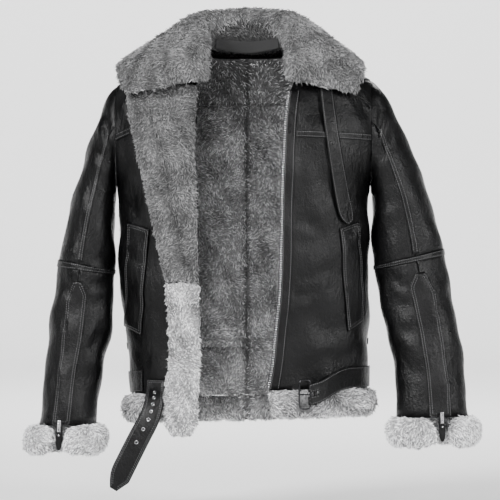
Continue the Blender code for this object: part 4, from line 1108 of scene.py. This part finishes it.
def stitch_shape():
    sewing = bpy.context.scene.sewing_look
    mesh = bmesh.new()
    bmesh.ops.create_uvsphere(mesh, u_segments=5, v_segments=3, radius=0.5)
    bmesh.ops.rotate(mesh, verts=mesh.verts, matrix=Matrix.Rotation(math.pi / 2, 3, "Y"))
    size = Vector((sewing.pitch * STITCH_LONG, sewing.thread, sewing.thread * STITCH_TALL))
    bmesh.ops.scale(mesh, verts=mesh.verts, vec=size)
    return template(mesh)


def stitches(name, rows):
    """Stitches along rows of (places, ways ahead, ways out), as one piece."""
    rows = [row for row in rows if len(row[0])]
    places, ahead, outs = (np.concatenate([row[part] for row in rows]) for part in range(3))
    data = repeated(name, stitch_shape(), places, turned_to(ahead, outs))
    return piece(name, data, ("sewing_thread",))


# Pile


PILE_GROUND_LEVELS = 2
PILE_SUNK, PILE_GROWN = 0.0012, -0.0016
# How deep the pile's lumps are, and how far apart, in metres, and how their waves run and wander
LUMPS = ((0.0022, 0.024), (0.0012, 0.011))
LUMP_WAYS = np.array(((1.0, 0.45, 0.2), (-0.35, 1.0, 0.55), (0.25, -0.5, 1.0)))
LUMP_WANDER, LUMP_SLOW = 1.7, 0.37
# How far the nap turns, in radians, along each wave's way, and where the wave starts
NAP_TURNS = ((0.9, (41.0, 23.0, 17.0), 0.0), (0.7, (-19.0, 61.0, 47.0), 2.0))
# Where less than this of the way down lies in the surface, the nap runs square to another way instead
NAP_FLAT, NAP_ACROSS = 0.2, (1.0, 0.3, 0.0)
LOCK_LAY = 0.95  # how far a lock leans over, against standing up
LOCK_SPREAD, LOCK_LEAN, INSIDE_LONG = 0.42, 0.25, 0.85
LOCK_TOP, LOCK_WAIST, LOCK_WAIST_WIDE, LOCK_ROOT = 0.86, 0.5, 0.78, 0.25
# The least and the most of a lock's length and thickness, and of how far it rises for its length
LOCK_LENGTHS, LOCK_WIDTHS, LOCK_RISES = (0.55, 1.0), (0.6, 1.25), (0.35, 0.75)
LOCK_SUNK = 0.35  # how deep a root sits, as a share of a lock's thickness
# A face of the pile that points inward more than this presses against the jacket, above the waist's
# level; one of the collar that points down more than this is its underside
PRESSED, PRESSED_DOWN_TO, COLLAR_UNDER = -0.35, -0.60, -0.55
INSIDE_FROM = 0.02  # the pile behind this depth is the inside of the back


def lumps(points):
    """Soft unevenness of the pile, the same everywhere on the jacket."""
    height = np.zeros(len(points))
    for depth, apart in LUMPS:
        ways = LUMP_WAYS * math.tau / apart
        bends = [
            np.sin(points @ way + LUMP_WANDER * np.sin(points @ np.roll(way, 1) * LUMP_SLOW)) for way in ways
        ]
        height += depth * (bends[0] * bends[1] + bends[2]) / 2
    return height


def pile_base(node, bright):
    """The dense pile under the locks, a little inside its solid, or outside it on a facing."""
    shrink = PILE_GROWN if node.startswith("facing") else PILE_SUNK
    data = subdivided(f"{node}_pile", solid_copy(node), PILE_GROUND_LEVELS, keep_edges=False)
    points = corners(data)
    put_corners(data, points + corner_ways(data) * (lumps(points) - shrink)[:, None])
    keep_shade(data, pile_shade(points, bright))
    made = piece(f"{node}_pile", data, ("pile_ground",), nodes=(node,))
    return made


def lock_shape(bend):
    """A tapering lock of pile that bends over toward X, a little less than 1 tall."""
    mesh = bmesh.new()
    bmesh.ops.create_circle(mesh, cap_ends=False, segments=3, radius=0.5)
    grown = bmesh.ops.extrude_edge_only(mesh, edges=mesh.edges[:])
    middle = [part for part in grown["geom"] if isinstance(part, bmesh.types.BMVert)]
    bmesh.ops.scale(mesh, verts=middle, vec=(LOCK_WAIST_WIDE, LOCK_WAIST_WIDE, 1.0))
    bmesh.ops.translate(mesh, verts=middle, vec=(bend * LOCK_WAIST**2, 0, LOCK_WAIST))
    rim = [edge for edge in mesh.edges if all(vert in middle for vert in edge.verts)]
    grown = bmesh.ops.extrude_edge_only(mesh, edges=rim)
    tip = [part for part in grown["geom"] if isinstance(part, bmesh.types.BMVert)]
    centre = Vector((bend, 0, LOCK_TOP))
    for vert in tip:
        vert.co = centre
    bmesh.ops.remove_doubles(mesh, verts=mesh.verts, dist=WELD)
    bmesh.ops.recalc_face_normals(mesh, faces=mesh.faces)
    return template(mesh)


def face_samples(data, faces, count, chance):
    """Evenly chanced places on some faces: places and ways out."""
    data.calc_loop_triangles()
    triangles = np.empty(len(data.loop_triangles) * 3, np.int32)
    data.loop_triangles.foreach_get("vertices", triangles)
    triangles = triangles.reshape(-1, 3)
    owners = np.empty(len(data.loop_triangles), np.int32)
    data.loop_triangles.foreach_get("polygon_index", owners)
    keep = faces[owners]
    triangles, owners = triangles[keep], owners[keep]
    points, ways = corners(data), corner_ways(data)
    spans = points[triangles]
    areas = np.linalg.norm(np.cross(spans[:, 1] - spans[:, 0], spans[:, 2] - spans[:, 0]), axis=1) / 2
    picked = chance.choice(len(areas), count, p=areas / areas.sum())
    first, second = chance.random(count), chance.random(count)
    over = first + second > 1
    first[over], second[over] = 1 - first[over], 1 - second[over]
    shares = np.stack((1 - first - second, first, second), axis=1)[:, :, None]
    return (spans[picked] * shares).sum(axis=1), unit((ways[triangles[picked]] * shares).sum(axis=1))


def nap(points, outs):
    """The way in which the pile lies: mostly down, turning a little from place to place."""
    turn = sum(most * np.sin(points @ way + start) for most, way, start in NAP_TURNS)
    down = np.array((0.0, 0.0, -1.0))
    flat = down - outs * (outs @ down)[:, None]
    weak = np.linalg.norm(flat, axis=1) < NAP_FLAT
    flat[weak] = np.cross(outs[weak], NAP_ACROSS)
    flat = unit(flat)
    across = np.cross(outs, flat)
    return flat * np.cos(turn)[:, None] + across * np.sin(turn)[:, None]


def seam_gap(points):
    """How far each point is from the lining's seams inside the back."""
    gap = np.abs(points[:, 0])
    for level in LINING_SEAMS:
        gap = np.minimum(gap, np.abs(points[:, 2] - level))
    inside = (points[:, 1] > 0) & (body_offset(points) < 0)
    return np.where(inside, gap, 1.0)


def bare(places):
    """Where no lock grows: at the neck patch, under the buckle and along the lining's seams."""
    bald = seam_gap(places) < LINING_SEAM_HALF
    for node, clear in (("neck_patch", PATCH_CLEAR), ("buckle_frame", BUCKLE_CLEAR)):
        low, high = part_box(node)
        bald |= ((places > np.array(low) - clear) & (places < np.array(high) + clear)).all(axis=1)
    return bald


def shadowed(places):
    """How dark painted shade makes the pile inside the back, from 1 below the chest to its darkest at the
    neck, under the collar.
    """
    rise = np.clip((places[:, 2] - NECK_FROM) / (NECK_TO - NECK_FROM), 0, 1)
    inside = (places[:, 1] > INSIDE_FROM) & (body_offset(places) < 0)
    return np.where(inside, 1 - (1 - NECK_PAINTED_SHADE) * rise, 1.0)


def pile_shade(points, bright):
    """How light the pile is at each point: its place's painted shade and light, the painted shade at the
    neck, its dark lining seams and its uneven patches.
    """
    bend = PATCH_BENDS[1] * np.sin(points @ np.array(PATCH_BENDS[0]))
    patches = sum(strength * np.sin(points @ np.array(way) + way[0] + bend) for way, strength in PATCHES)
    seams = 1 - LINING_SEAM_DARK * np.exp(-((seam_gap(points) / (2 * LINING_SEAM_HALF)) ** 2))
    return bright * shadowed(points) * seams * (1 + patches)


def keep_shade(data, shade):
    layer = data.attributes.new("shade", "FLOAT", "POINT")
    layer.data.foreach_set("value", np.clip(shade, *SHADE_LIMITS).astype(np.float32))


def locks(name, host, faces, share, seed, bright, long=1.0):
    """Locks of pile on some of a piece's faces."""
    look = bpy.context.scene.pile_look
    chance = np.random.default_rng(seed)
    data = host.data
    areas = np.empty(len(data.polygons))
    data.polygons.foreach_get("area", areas)
    count = int(areas[faces].sum() * look.density * share)
    places, outs = face_samples(data, faces, count, chance)
    grown = ~bare(places)
    places, outs, count = places[grown], outs[grown], int(grown.sum())
    ahead = nap(places, outs) + LOCK_SPREAD * chance.normal(size=(count, 3))
    leaning = unit(outs + LOCK_LEAN * chance.normal(size=(count, 3)))
    turns = turned_to(ahead, leaning)
    length = look.length * long * chance.uniform(*LOCK_LENGTHS, count)
    wide = look.thickness * chance.uniform(*LOCK_WIDTHS, count)
    sizes = np.stack((length, wide, length * chance.uniform(*LOCK_RISES, count)), axis=1)
    turns = turns * sizes[:, None, :]
    shape = lock_shape(LOCK_LAY)
    thin = shape[0].copy()
    root_wide = look.thickness / look.length
    thin[:, 0] = np.where(thin[:, 2] < LOCK_ROOT, thin[:, 0] * root_wide, thin[:, 0])
    tip = np.broadcast_to(np.clip(shape[0][:, 2] / LOCK_TOP, 0, 1), (count, len(thin)))
    # Locks that face down are made lighter: painted light, most on the lower rims of the collar, the cuffs
    # and the hem.
    shade = pile_shade(places, bright) * (1 + DOWN_PAINTED_LIGHT * np.clip(-outs[:, 2], 0, 1))
    shade += bright * LOCK_UNEVEN * chance.normal(size=count)
    shade = np.broadcast_to(np.clip(shade, *SHADE_LIMITS)[:, None], (count, len(thin)))
    places = places - outs * look.thickness * LOCK_SUNK
    return piece(
        name,
        repeated(name, (thin, shape[1]), places, turns, {"tip": tip, "shade": shade}),
        ("pile_locks",),
    )


def every_face(made):
    return np.ones(len(made.data.polygons), bool)


def outer_faces(made):
    """The faces of a pile piece that show: not those that press against the jacket."""
    centres, ways = face_values(made.data, "center"), face_values(made.data, "normal")
    inner = (body_out(centres) * ways).sum(axis=1) < PRESSED
    return ~(inner & (centres[:, 2] > PRESSED_DOWN_TO))


def upper_faces(made):
    """The faces of the collar that show from above and in front, and its free edge."""
    return face_values(made.data, "normal")[:, 2] > COLLAR_UNDER


def lining_faces(made):
    """Pile faces of a leather wall."""
    which = np.empty(len(made.data.polygons), np.int32)
    made.data.polygons.foreach_get("material_index", which)
    return which == 1


def folded_faces(made):
    """Of a right front's pile, what shows on the turned-back part."""
    centres = face_values(made.data, "center")
    return lining_faces(made) & (body_offset(centres) > LEATHER_TO)


def inside_faces(made):
    centres = face_values(made.data, "center")
    return lining_faces(made) & (body_offset(centres) < LEATHER_FROM)


# Operators, one for each piece or group of like pieces


class JACKET_OT_body(bpy.types.Operator):
    """Make the leather of the body with the pile inside"""

    bl_idname = "jacket.body"
    bl_label = "Body leather"

    def execute(self, context):
        for node, cut in BODY_CUTS.items():
            made = shell(node)
            seed = LOCK_SEEDS[node]
            if node in ("front_panel_right", "front_yoke_right"):
                keep_shade(made.data, pile_shade(corners(made.data), FOLD_BRIGHT))
                locks(f"{node}_locks", made, folded_faces(made), FOLD_LOCKS, seed, FOLD_BRIGHT)
            else:
                bright = BACK_BRIGHT if node.startswith("back") else INSIDE_BRIGHT
                share = BACK_LOCKS if node.startswith("back") else INSIDE_LOCKS
                keep_shade(made.data, pile_shade(corners(made.data), bright))
                locks(f"{node}_locks", made, inside_faces(made), share, seed, bright, INSIDE_LONG)
        return {"FINISHED"}


class JACKET_OT_sleeves(bpy.types.Operator):
    """Make the leather of the sleeves with the pile inside"""

    bl_idname = "jacket.sleeves"
    bl_label = "Sleeve leather"

    def execute(self, context):
        for node, cut in SLEEVE_CUTS.items():
            made = shell(node, SIDES[node.rsplit("_", 1)[1]])
            keep_shade(made.data, pile_shade(corners(made.data), INSIDE_BRIGHT))
        return {"FINISHED"}


class JACKET_OT_pile(bpy.types.Operator):
    """Make the pile of the collar, the hem, the cuffs and the turned-back edge"""

    bl_idname = "jacket.pile"
    bl_label = "Pile"

    def execute(self, context):
        for node in PILE_NODES:
            row = PILE_LOCKS[node]
            made = pile_base(node, row.bright)
            faces = upper_faces(made) if node == "collar" else outer_faces(made)
            if node.startswith("cuff"):
                faces = every_face(made)
            locks(f"{node}_locks", made, faces, row.share, LOCK_SEEDS[node], row.bright, row.long)
        return {"FINISHED"}


def outward_of(side):
    """The function that gives the way out of the body, or of the sleeve on a side."""
    if side is None:
        return body_out
    return lambda points: sleeve_out(points, side)


def sewn_edges(made, outward, insets, least=RUN_LEAST):
    """Rows of stitches beside a thin piece's edges."""
    pitch = bpy.context.scene.sewing_look.pitch
    runs = border_runs(made.data, outward, least)
    return [along_run(run, inset, pitch) for run in runs for inset in insets]


class JACKET_OT_trim(bpy.types.Operator):
    """Make the tapes, the pocket welts, the zip strips and the neck patch, with their sewing"""

    bl_idname = "jacket.trim"
    bl_label = "Tapes and welts"

    def execute(self, context):
        for node, cut in TRIM_CUTS.items():
            on_sleeve = node.startswith(("seam_tape", "elbow_tape", "cuff_placket"))
            side = SIDES[node.rsplit("_", 1)[1]] if on_sleeve else None
            if node == "neck_patch":
                trim(node, finish="dark_cloth_and_hole_shade", moves=False)
                continue
            made = trim(node, side)
            insets = SEWN_TWICE if node.startswith(("pocket", "cuff_placket")) else SEWN_ONCE
            stitches(f"{node}_stitches", sewn_edges(made, outward_of(side), insets, EDGE_LEAST))
        return {"FINISHED"}


class JACKET_OT_straps(bpy.types.Operator):
    """Make the straps with their sewing and eyelets"""

    bl_idname = "jacket.straps"
    bl_label = "Straps"

    def execute(self, context):
        for node, cut in STRAP_CUTS.items():
            made = trim(node, moves=node == "waist_strap_right")
            insets = SEWN_STRAP if node == "hanging_strap" else SEWN_ONCE
            stitches(f"{node}_stitches", sewn_edges(made, body_out, insets))
        for number in range(1, EYELETS + 1):
            self.eyelet(f"eyelet_{number}")
        return {"FINISHED"}

    def eyelet(self, node):
        """An eyelet's ring, and a dark disc in its hole, painted shade for the hole's depth; the disc faces
        the way in which the ring is thinnest.
        """
        low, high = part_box(node)
        middle = (low + high) / 2
        ring = subdivided(f"{node}_ring", solid_copy(node), 1, keep_edges=False)
        piece(f"{node}_ring", ring, ("polished_metal",), nodes=(node,))
        points = corners(ring) - np.array(middle)
        out = forward(Vector(np.linalg.svd(points, full_matrices=False)[2][2]))
        # A dark disc sunk in the ring: painted shade in the eyelet's hole.
        hole = bmesh.new()
        bmesh.ops.create_cone(
            hole,
            cap_ends=True,
            segments=HOLE_SEGMENTS,
            radius1=HOLE,
            radius2=HOLE,
            depth=HOLE_DEEP,
            matrix=facing(middle - out * HOLE_SUNK, out),
        )
        piece(f"{node}_hole", mesh_data(f"{node}_hole", hole), ("dark_cloth_and_hole_shade",))


def tooth_shape(size):
    """A zip's tooth: a block with bevelled edges."""
    mesh = bmesh.new()
    bmesh.ops.create_cube(mesh, size=1.0)
    bmesh.ops.scale(mesh, verts=mesh.verts, vec=size)
    bmesh.ops.bevel(
        mesh,
        geom=mesh.edges[:],
        offset=min(size) * TOOTH_BEVEL,
        segments=1,
        profile=0.5,
        affect="EDGES",
        material=-1,
    )
    return template(mesh)


def ribbon(name, line, sideways, outs, half, thick):
    """A thin band along a line."""
    mesh = bmesh.new()
    grid = bmesh.ops.create_grid(mesh, x_segments=len(line) - 1, y_segments=2, size=0.5)["verts"]
    for vert in grid:
        number = round((vert.co.x + 0.5) * (len(line) - 1))
        vert.co = Vector(line[number] + sideways[number] * half * 2 * vert.co.y + outs[number] * thick / 2)
    bmesh.ops.solidify(mesh, geom=mesh.faces[:], thickness=thick)
    bmesh.ops.recalc_face_normals(mesh, faces=mesh.faces)
    return mesh_data(name, mesh)


def zip_chain(name, line, sideways, outs, half, tooth):
    """A zip's tape and the teeth on it, along a line."""
    tape = ribbon(f"{name}_tape", line, sideways, outs, half, ZIP_TAPE_THICK)
    piece(f"{name}_tape", tape, ("zip_tape",))
    places, turns = line + outs * TOOTH_UP, turned_to(sideways, outs)
    teeth = repeated(f"{name}_teeth", tooth_shape(tooth), places, turns)
    piece(f"{name}_teeth", teeth, ("polished_metal",))


def front_zip(name, strip, outer):
    """Half of the front's zip, beside the outer or the inner edge of a strip."""
    pitch = bpy.context.scene.metal_look.tooth_pitch
    runs = border_runs(strip.data, body_out, ZIP_LEAST)
    run = min(runs, key=lambda run: abs(run[0][:, 0]).mean() * (-1 if outer else 1))
    places, ahead, outs = along_run(run, -ZIP_BESIDE, pitch, -ZIP_UNDER, ZIP_END)
    zip_chain(name, places, np.cross(outs, ahead), outs, ZIP_TAPE_HALF, TOOTH)


class JACKET_OT_zips(bpy.types.Operator):
    """Make the zips' teeth and tapes, the sliders and the pull tabs"""

    bl_idname = "jacket.zips"
    bl_label = "Zips"

    def execute(self, context):
        front_zip("front_zip_left", bpy.data.objects["zip_strip_left_leather"], False)
        front_zip("front_zip_right", bpy.data.objects["zip_strip_right_leather"], True)
        for name in SIDES:
            self.cuff_zip(name)
        return {"FINISHED"}

    def cuff_zip(self, name):
        """A cuff's slider, the short zip under it and its pull tab."""
        node = f"cuff_slider_{name}"
        slider = subdivided(f"{node}_metal", solid_copy(node), 2)
        piece(f"{node}_metal", slider, ("polished_metal",), nodes=(node,))
        low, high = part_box(node)
        middle = (low + high) / 2
        joint = next(row for row in frame["joints"] if row["child"] == f"pull_tab_{name}")
        across = Vector(joint["axis"]).normalized()
        out = forward(Vector((0, 0, 1)).cross(across))
        pitch = bpy.context.scene.metal_look.tooth_pitch
        run = np.linspace(0, CHAIN_LONG, round(CHAIN_LONG / pitch * CHAIN_CLOSE) + 1)
        line = np.array(middle) - run[:, None] * np.array((0, 0, 1.0)) - np.array(out) * CHAIN_BACK
        sideways, outs = (np.tile(np.array(way), (len(run), 1)) for way in (across, out))
        zip_chain(f"cuff_zip_{name}", line, sideways, outs, CHAIN_TAPE_HALF, CHAIN_TOOTH)
        self.pull_tab(f"pull_tab_{name}", across, out)

    def pull_tab(self, node, across, out):
        """A leather tab with its rivet, and the metal link that it hangs from."""
        low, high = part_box(node)
        middle, tall = (low + high) / 2, high.z - low.z
        turn = Matrix((across, out, Vector((0, 0, 1)))).transposed().to_4x4()
        tab = bmesh.new()
        bmesh.ops.create_cube(tab, size=1.0)
        bmesh.ops.subdivide_edges(tab, edges=tab.edges[:], cuts=3, use_grid_fill=True)
        for vert in tab.verts:
            share = vert.co.z + 0.5
            foot = TAB_FOOT * max(0.0, TAB_END - share) / TAB_END
            head = TAB_HEAD * max(0.0, share - (1 - TAB_END)) / TAB_END
            thin = 1 - TAB_SIDES * (2 * vert.co.x) ** 2
            narrow = 1 - foot - head
            vert.co = Vector((vert.co.x * TAB[0] * narrow, vert.co.y * TAB[1] * thin, vert.co.z * TAB[2]))
        place = Matrix.Translation(Vector((middle.x, middle.y, low.z + TAB[2] / 2))) @ turn
        bmesh.ops.transform(tab, matrix=place, verts=tab.verts)
        data = subdivided(f"{node}_leather", tab, 2, keep_edges=False)
        piece(f"{node}_leather", data, ("black_leather",), body=node, nodes=(node,))
        rivet = bmesh.new()
        at = Vector((middle.x, middle.y, low.z + TAB[2] * RIVET_UP)) + out * TAB[1] * RIVET_OUT
        bmesh.ops.create_uvsphere(rivet, u_segments=20, v_segments=10, radius=RIVET, matrix=facing(at, out))
        data = mesh_data(f"{node}_rivet", rivet)
        piece(f"{node}_rivet", data, ("polished_metal",), body=node)
        link = bmesh.new()
        bmesh.ops.create_cube(link, size=1.0)
        bmesh.ops.subdivide_edges(link, edges=link.edges[:], cuts=2, use_grid_fill=True)
        gone = []
        for face in link.faces:
            middle_x, _, middle_z = face.calc_center_median()
            if max(abs(middle_x), abs(middle_z)) < LINK_HOLE and abs(face.normal.y) > LINK_FACE:
                gone.append(face)
        bmesh.ops.delete(link, geom=gone, context="FACES")
        rims = [edge for edge in link.edges if edge.is_boundary]
        bmesh.ops.bridge_loops(link, edges=rims)
        reach = tall - TAB[2] + LINK_LAP
        bmesh.ops.scale(link, verts=link.verts, vec=(LINK[0], LINK[1], reach))
        place = Matrix.Translation(Vector((middle.x, middle.y, high.z - reach / 2))) @ turn
        bmesh.ops.transform(link, matrix=place, verts=link.verts)
        data = subdivided(f"{node}_link", link, 2, keep_edges=False)
        piece(f"{node}_link", data, ("polished_metal",), body=node)


class JACKET_OT_buckle(bpy.types.Operator):
    """Make the buckle's frame and prong"""

    bl_idname = "jacket.buckle"
    bl_label = "Buckle"

    def execute(self, context):
        for node, body in (("buckle_frame", JACKET), ("buckle_prong", "buckle_prong")):
            data = subdivided(f"{node}_metal", solid_copy(node), 1, keep_edges=False)
            piece(f"{node}_metal", data, ("dark_metal",), body=body, nodes=(node,))
        return {"FINISHED"}


class JACKET_OT_stage(bpy.types.Operator):
    """Make the floor, the backdrop, the lights and the camera"""

    bl_idname = "jacket.stage"
    bl_label = "Stage"

    def execute(self, context):
        made, *_, surface = new_material("pale_stage")
        surface.inputs["Base Color"].default_value = (0.80, 0.80, 0.80, 1.0)
        surface.inputs["Roughness"].default_value = 0.9
        surface.inputs["Emission Color"].default_value = (1.0, 1.0, 1.0, 1.0)
        surface.inputs["Emission Strength"].default_value = STAGE_GLOW
        dish = bmesh.new()
        line = [dish.verts.new((0.0, 0.0, STAGE_FLOOR))]
        for step in range(STAGE_BEND_STEPS + 1):
            bend = math.pi / 2 * step / STAGE_BEND_STEPS
            away = STAGE_REACH - STAGE_BEND * (1 - math.sin(bend))
            line.append(dish.verts.new((away, 0.0, STAGE_FLOOR + STAGE_BEND * (1 - math.cos(bend)))))
        line.append(dish.verts.new((STAGE_REACH, 0.0, STAGE_TOP)))
        edges = [dish.edges.new(pair) for pair in zip(line, line[1:])]
        bmesh.ops.spin(
            dish,
            geom=line + edges,
            axis=(0, 0, 1),
            cent=(0, 0, 0),
            angle=math.tau,
            steps=STAGE_TURN_STEPS,
            use_merge=True,
        )
        bmesh.ops.remove_doubles(dish, verts=dish.verts, dist=WELD)
        bmesh.ops.recalc_face_normals(dish, faces=dish.faces)
        data = mesh_data("stage_dish", dish)
        data.shade_smooth()
        data.materials.append(made)
        floor = bpy.data.objects.new("stage_dish", data)
        context.scene.collection.objects.link(floor)
        world = bpy.data.worlds.new("Soft room")
        world.use_nodes = True
        world.node_tree.nodes["Background"].inputs["Color"].default_value = (1.0, 1.0, 1.0, 1.0)
        world.node_tree.nodes["Background"].inputs["Strength"].default_value = ROOM_LIGHT
        context.scene.world = world
        for light in LIGHTS:
            lamp = bpy.data.lights.new(light.name, "AREA")
            lamp.shape = "RECTANGLE"
            lamp.size, lamp.size_y, lamp.energy = light.wide, light.tall, light.power
            made = bpy.data.objects.new(light.name, lamp)
            made.location = light.place
            made.rotation_euler = (Vector(light.aim) - made.location).to_track_quat("-Z", "Y").to_euler()
            context.scene.collection.objects.link(made)
        lens = bpy.data.cameras.new("camera")
        lens.sensor_width, lens.lens = SENSOR, SENSOR * CAMERA_AWAY / CAMERA_VIEW
        camera = bpy.data.objects.new("camera", lens)
        camera.location = (CAMERA_X, -CAMERA_AWAY, CAMERA_Z)
        camera.rotation_euler = (math.pi / 2, 0, 0)
        context.scene.collection.objects.link(camera)
        context.scene.camera = camera
        return {"FINISHED"}


class JACKET_PT_panel(bpy.types.Panel):
    """The jacket's sizes and colours, and its operators"""

    bl_idname = "JACKET_PT_panel"
    bl_label = "Jacket"
    bl_space_type = "VIEW_3D"
    bl_region_type = "UI"
    bl_category = "Jacket"

    def draw(self, context):
        layout = self.layout
        for group in looks():
            box = layout.box()
            for name in group.bl_rna.properties.keys():
                if name not in ("rna_type", "name"):
                    box.prop(group, name)
        for operator in OPERATORS:
            layout.operator(operator.bl_idname)


OPERATORS = (
    JACKET_OT_body,
    JACKET_OT_sleeves,
    JACKET_OT_pile,
    JACKET_OT_trim,
    JACKET_OT_straps,
    JACKET_OT_zips,
    JACKET_OT_buckle,
    JACKET_OT_stage,
)
GROUPS = {
    "leather_look": LeatherLook,
    "pile_look": PileLook,
    "sewing_look": SewingLook,
    "metal_look": MetalLook,
}
CLASSES = (*GROUPS.values(), *OPERATORS, JACKET_PT_panel)


def register():
    for made in CLASSES:
        bpy.utils.register_class(made)
    for name, group in GROUPS.items():
        setattr(bpy.types.Scene, name, bpy.props.PointerProperty(type=group))


def unregister():
    for name in GROUPS:
        delattr(bpy.types.Scene, name)
    for made in reversed(CLASSES):
        bpy.utils.unregister_class(made)


def main():
    register()
    bpy.ops.jacket.body()
    bpy.ops.jacket.sleeves()
    bpy.ops.jacket.pile()
    bpy.ops.jacket.trim()
    bpy.ops.jacket.straps()
    bpy.ops.jacket.zips()
    bpy.ops.jacket.buckle()
    bpy.ops.jacket.stage()


if __name__ == "__main__":
    main()
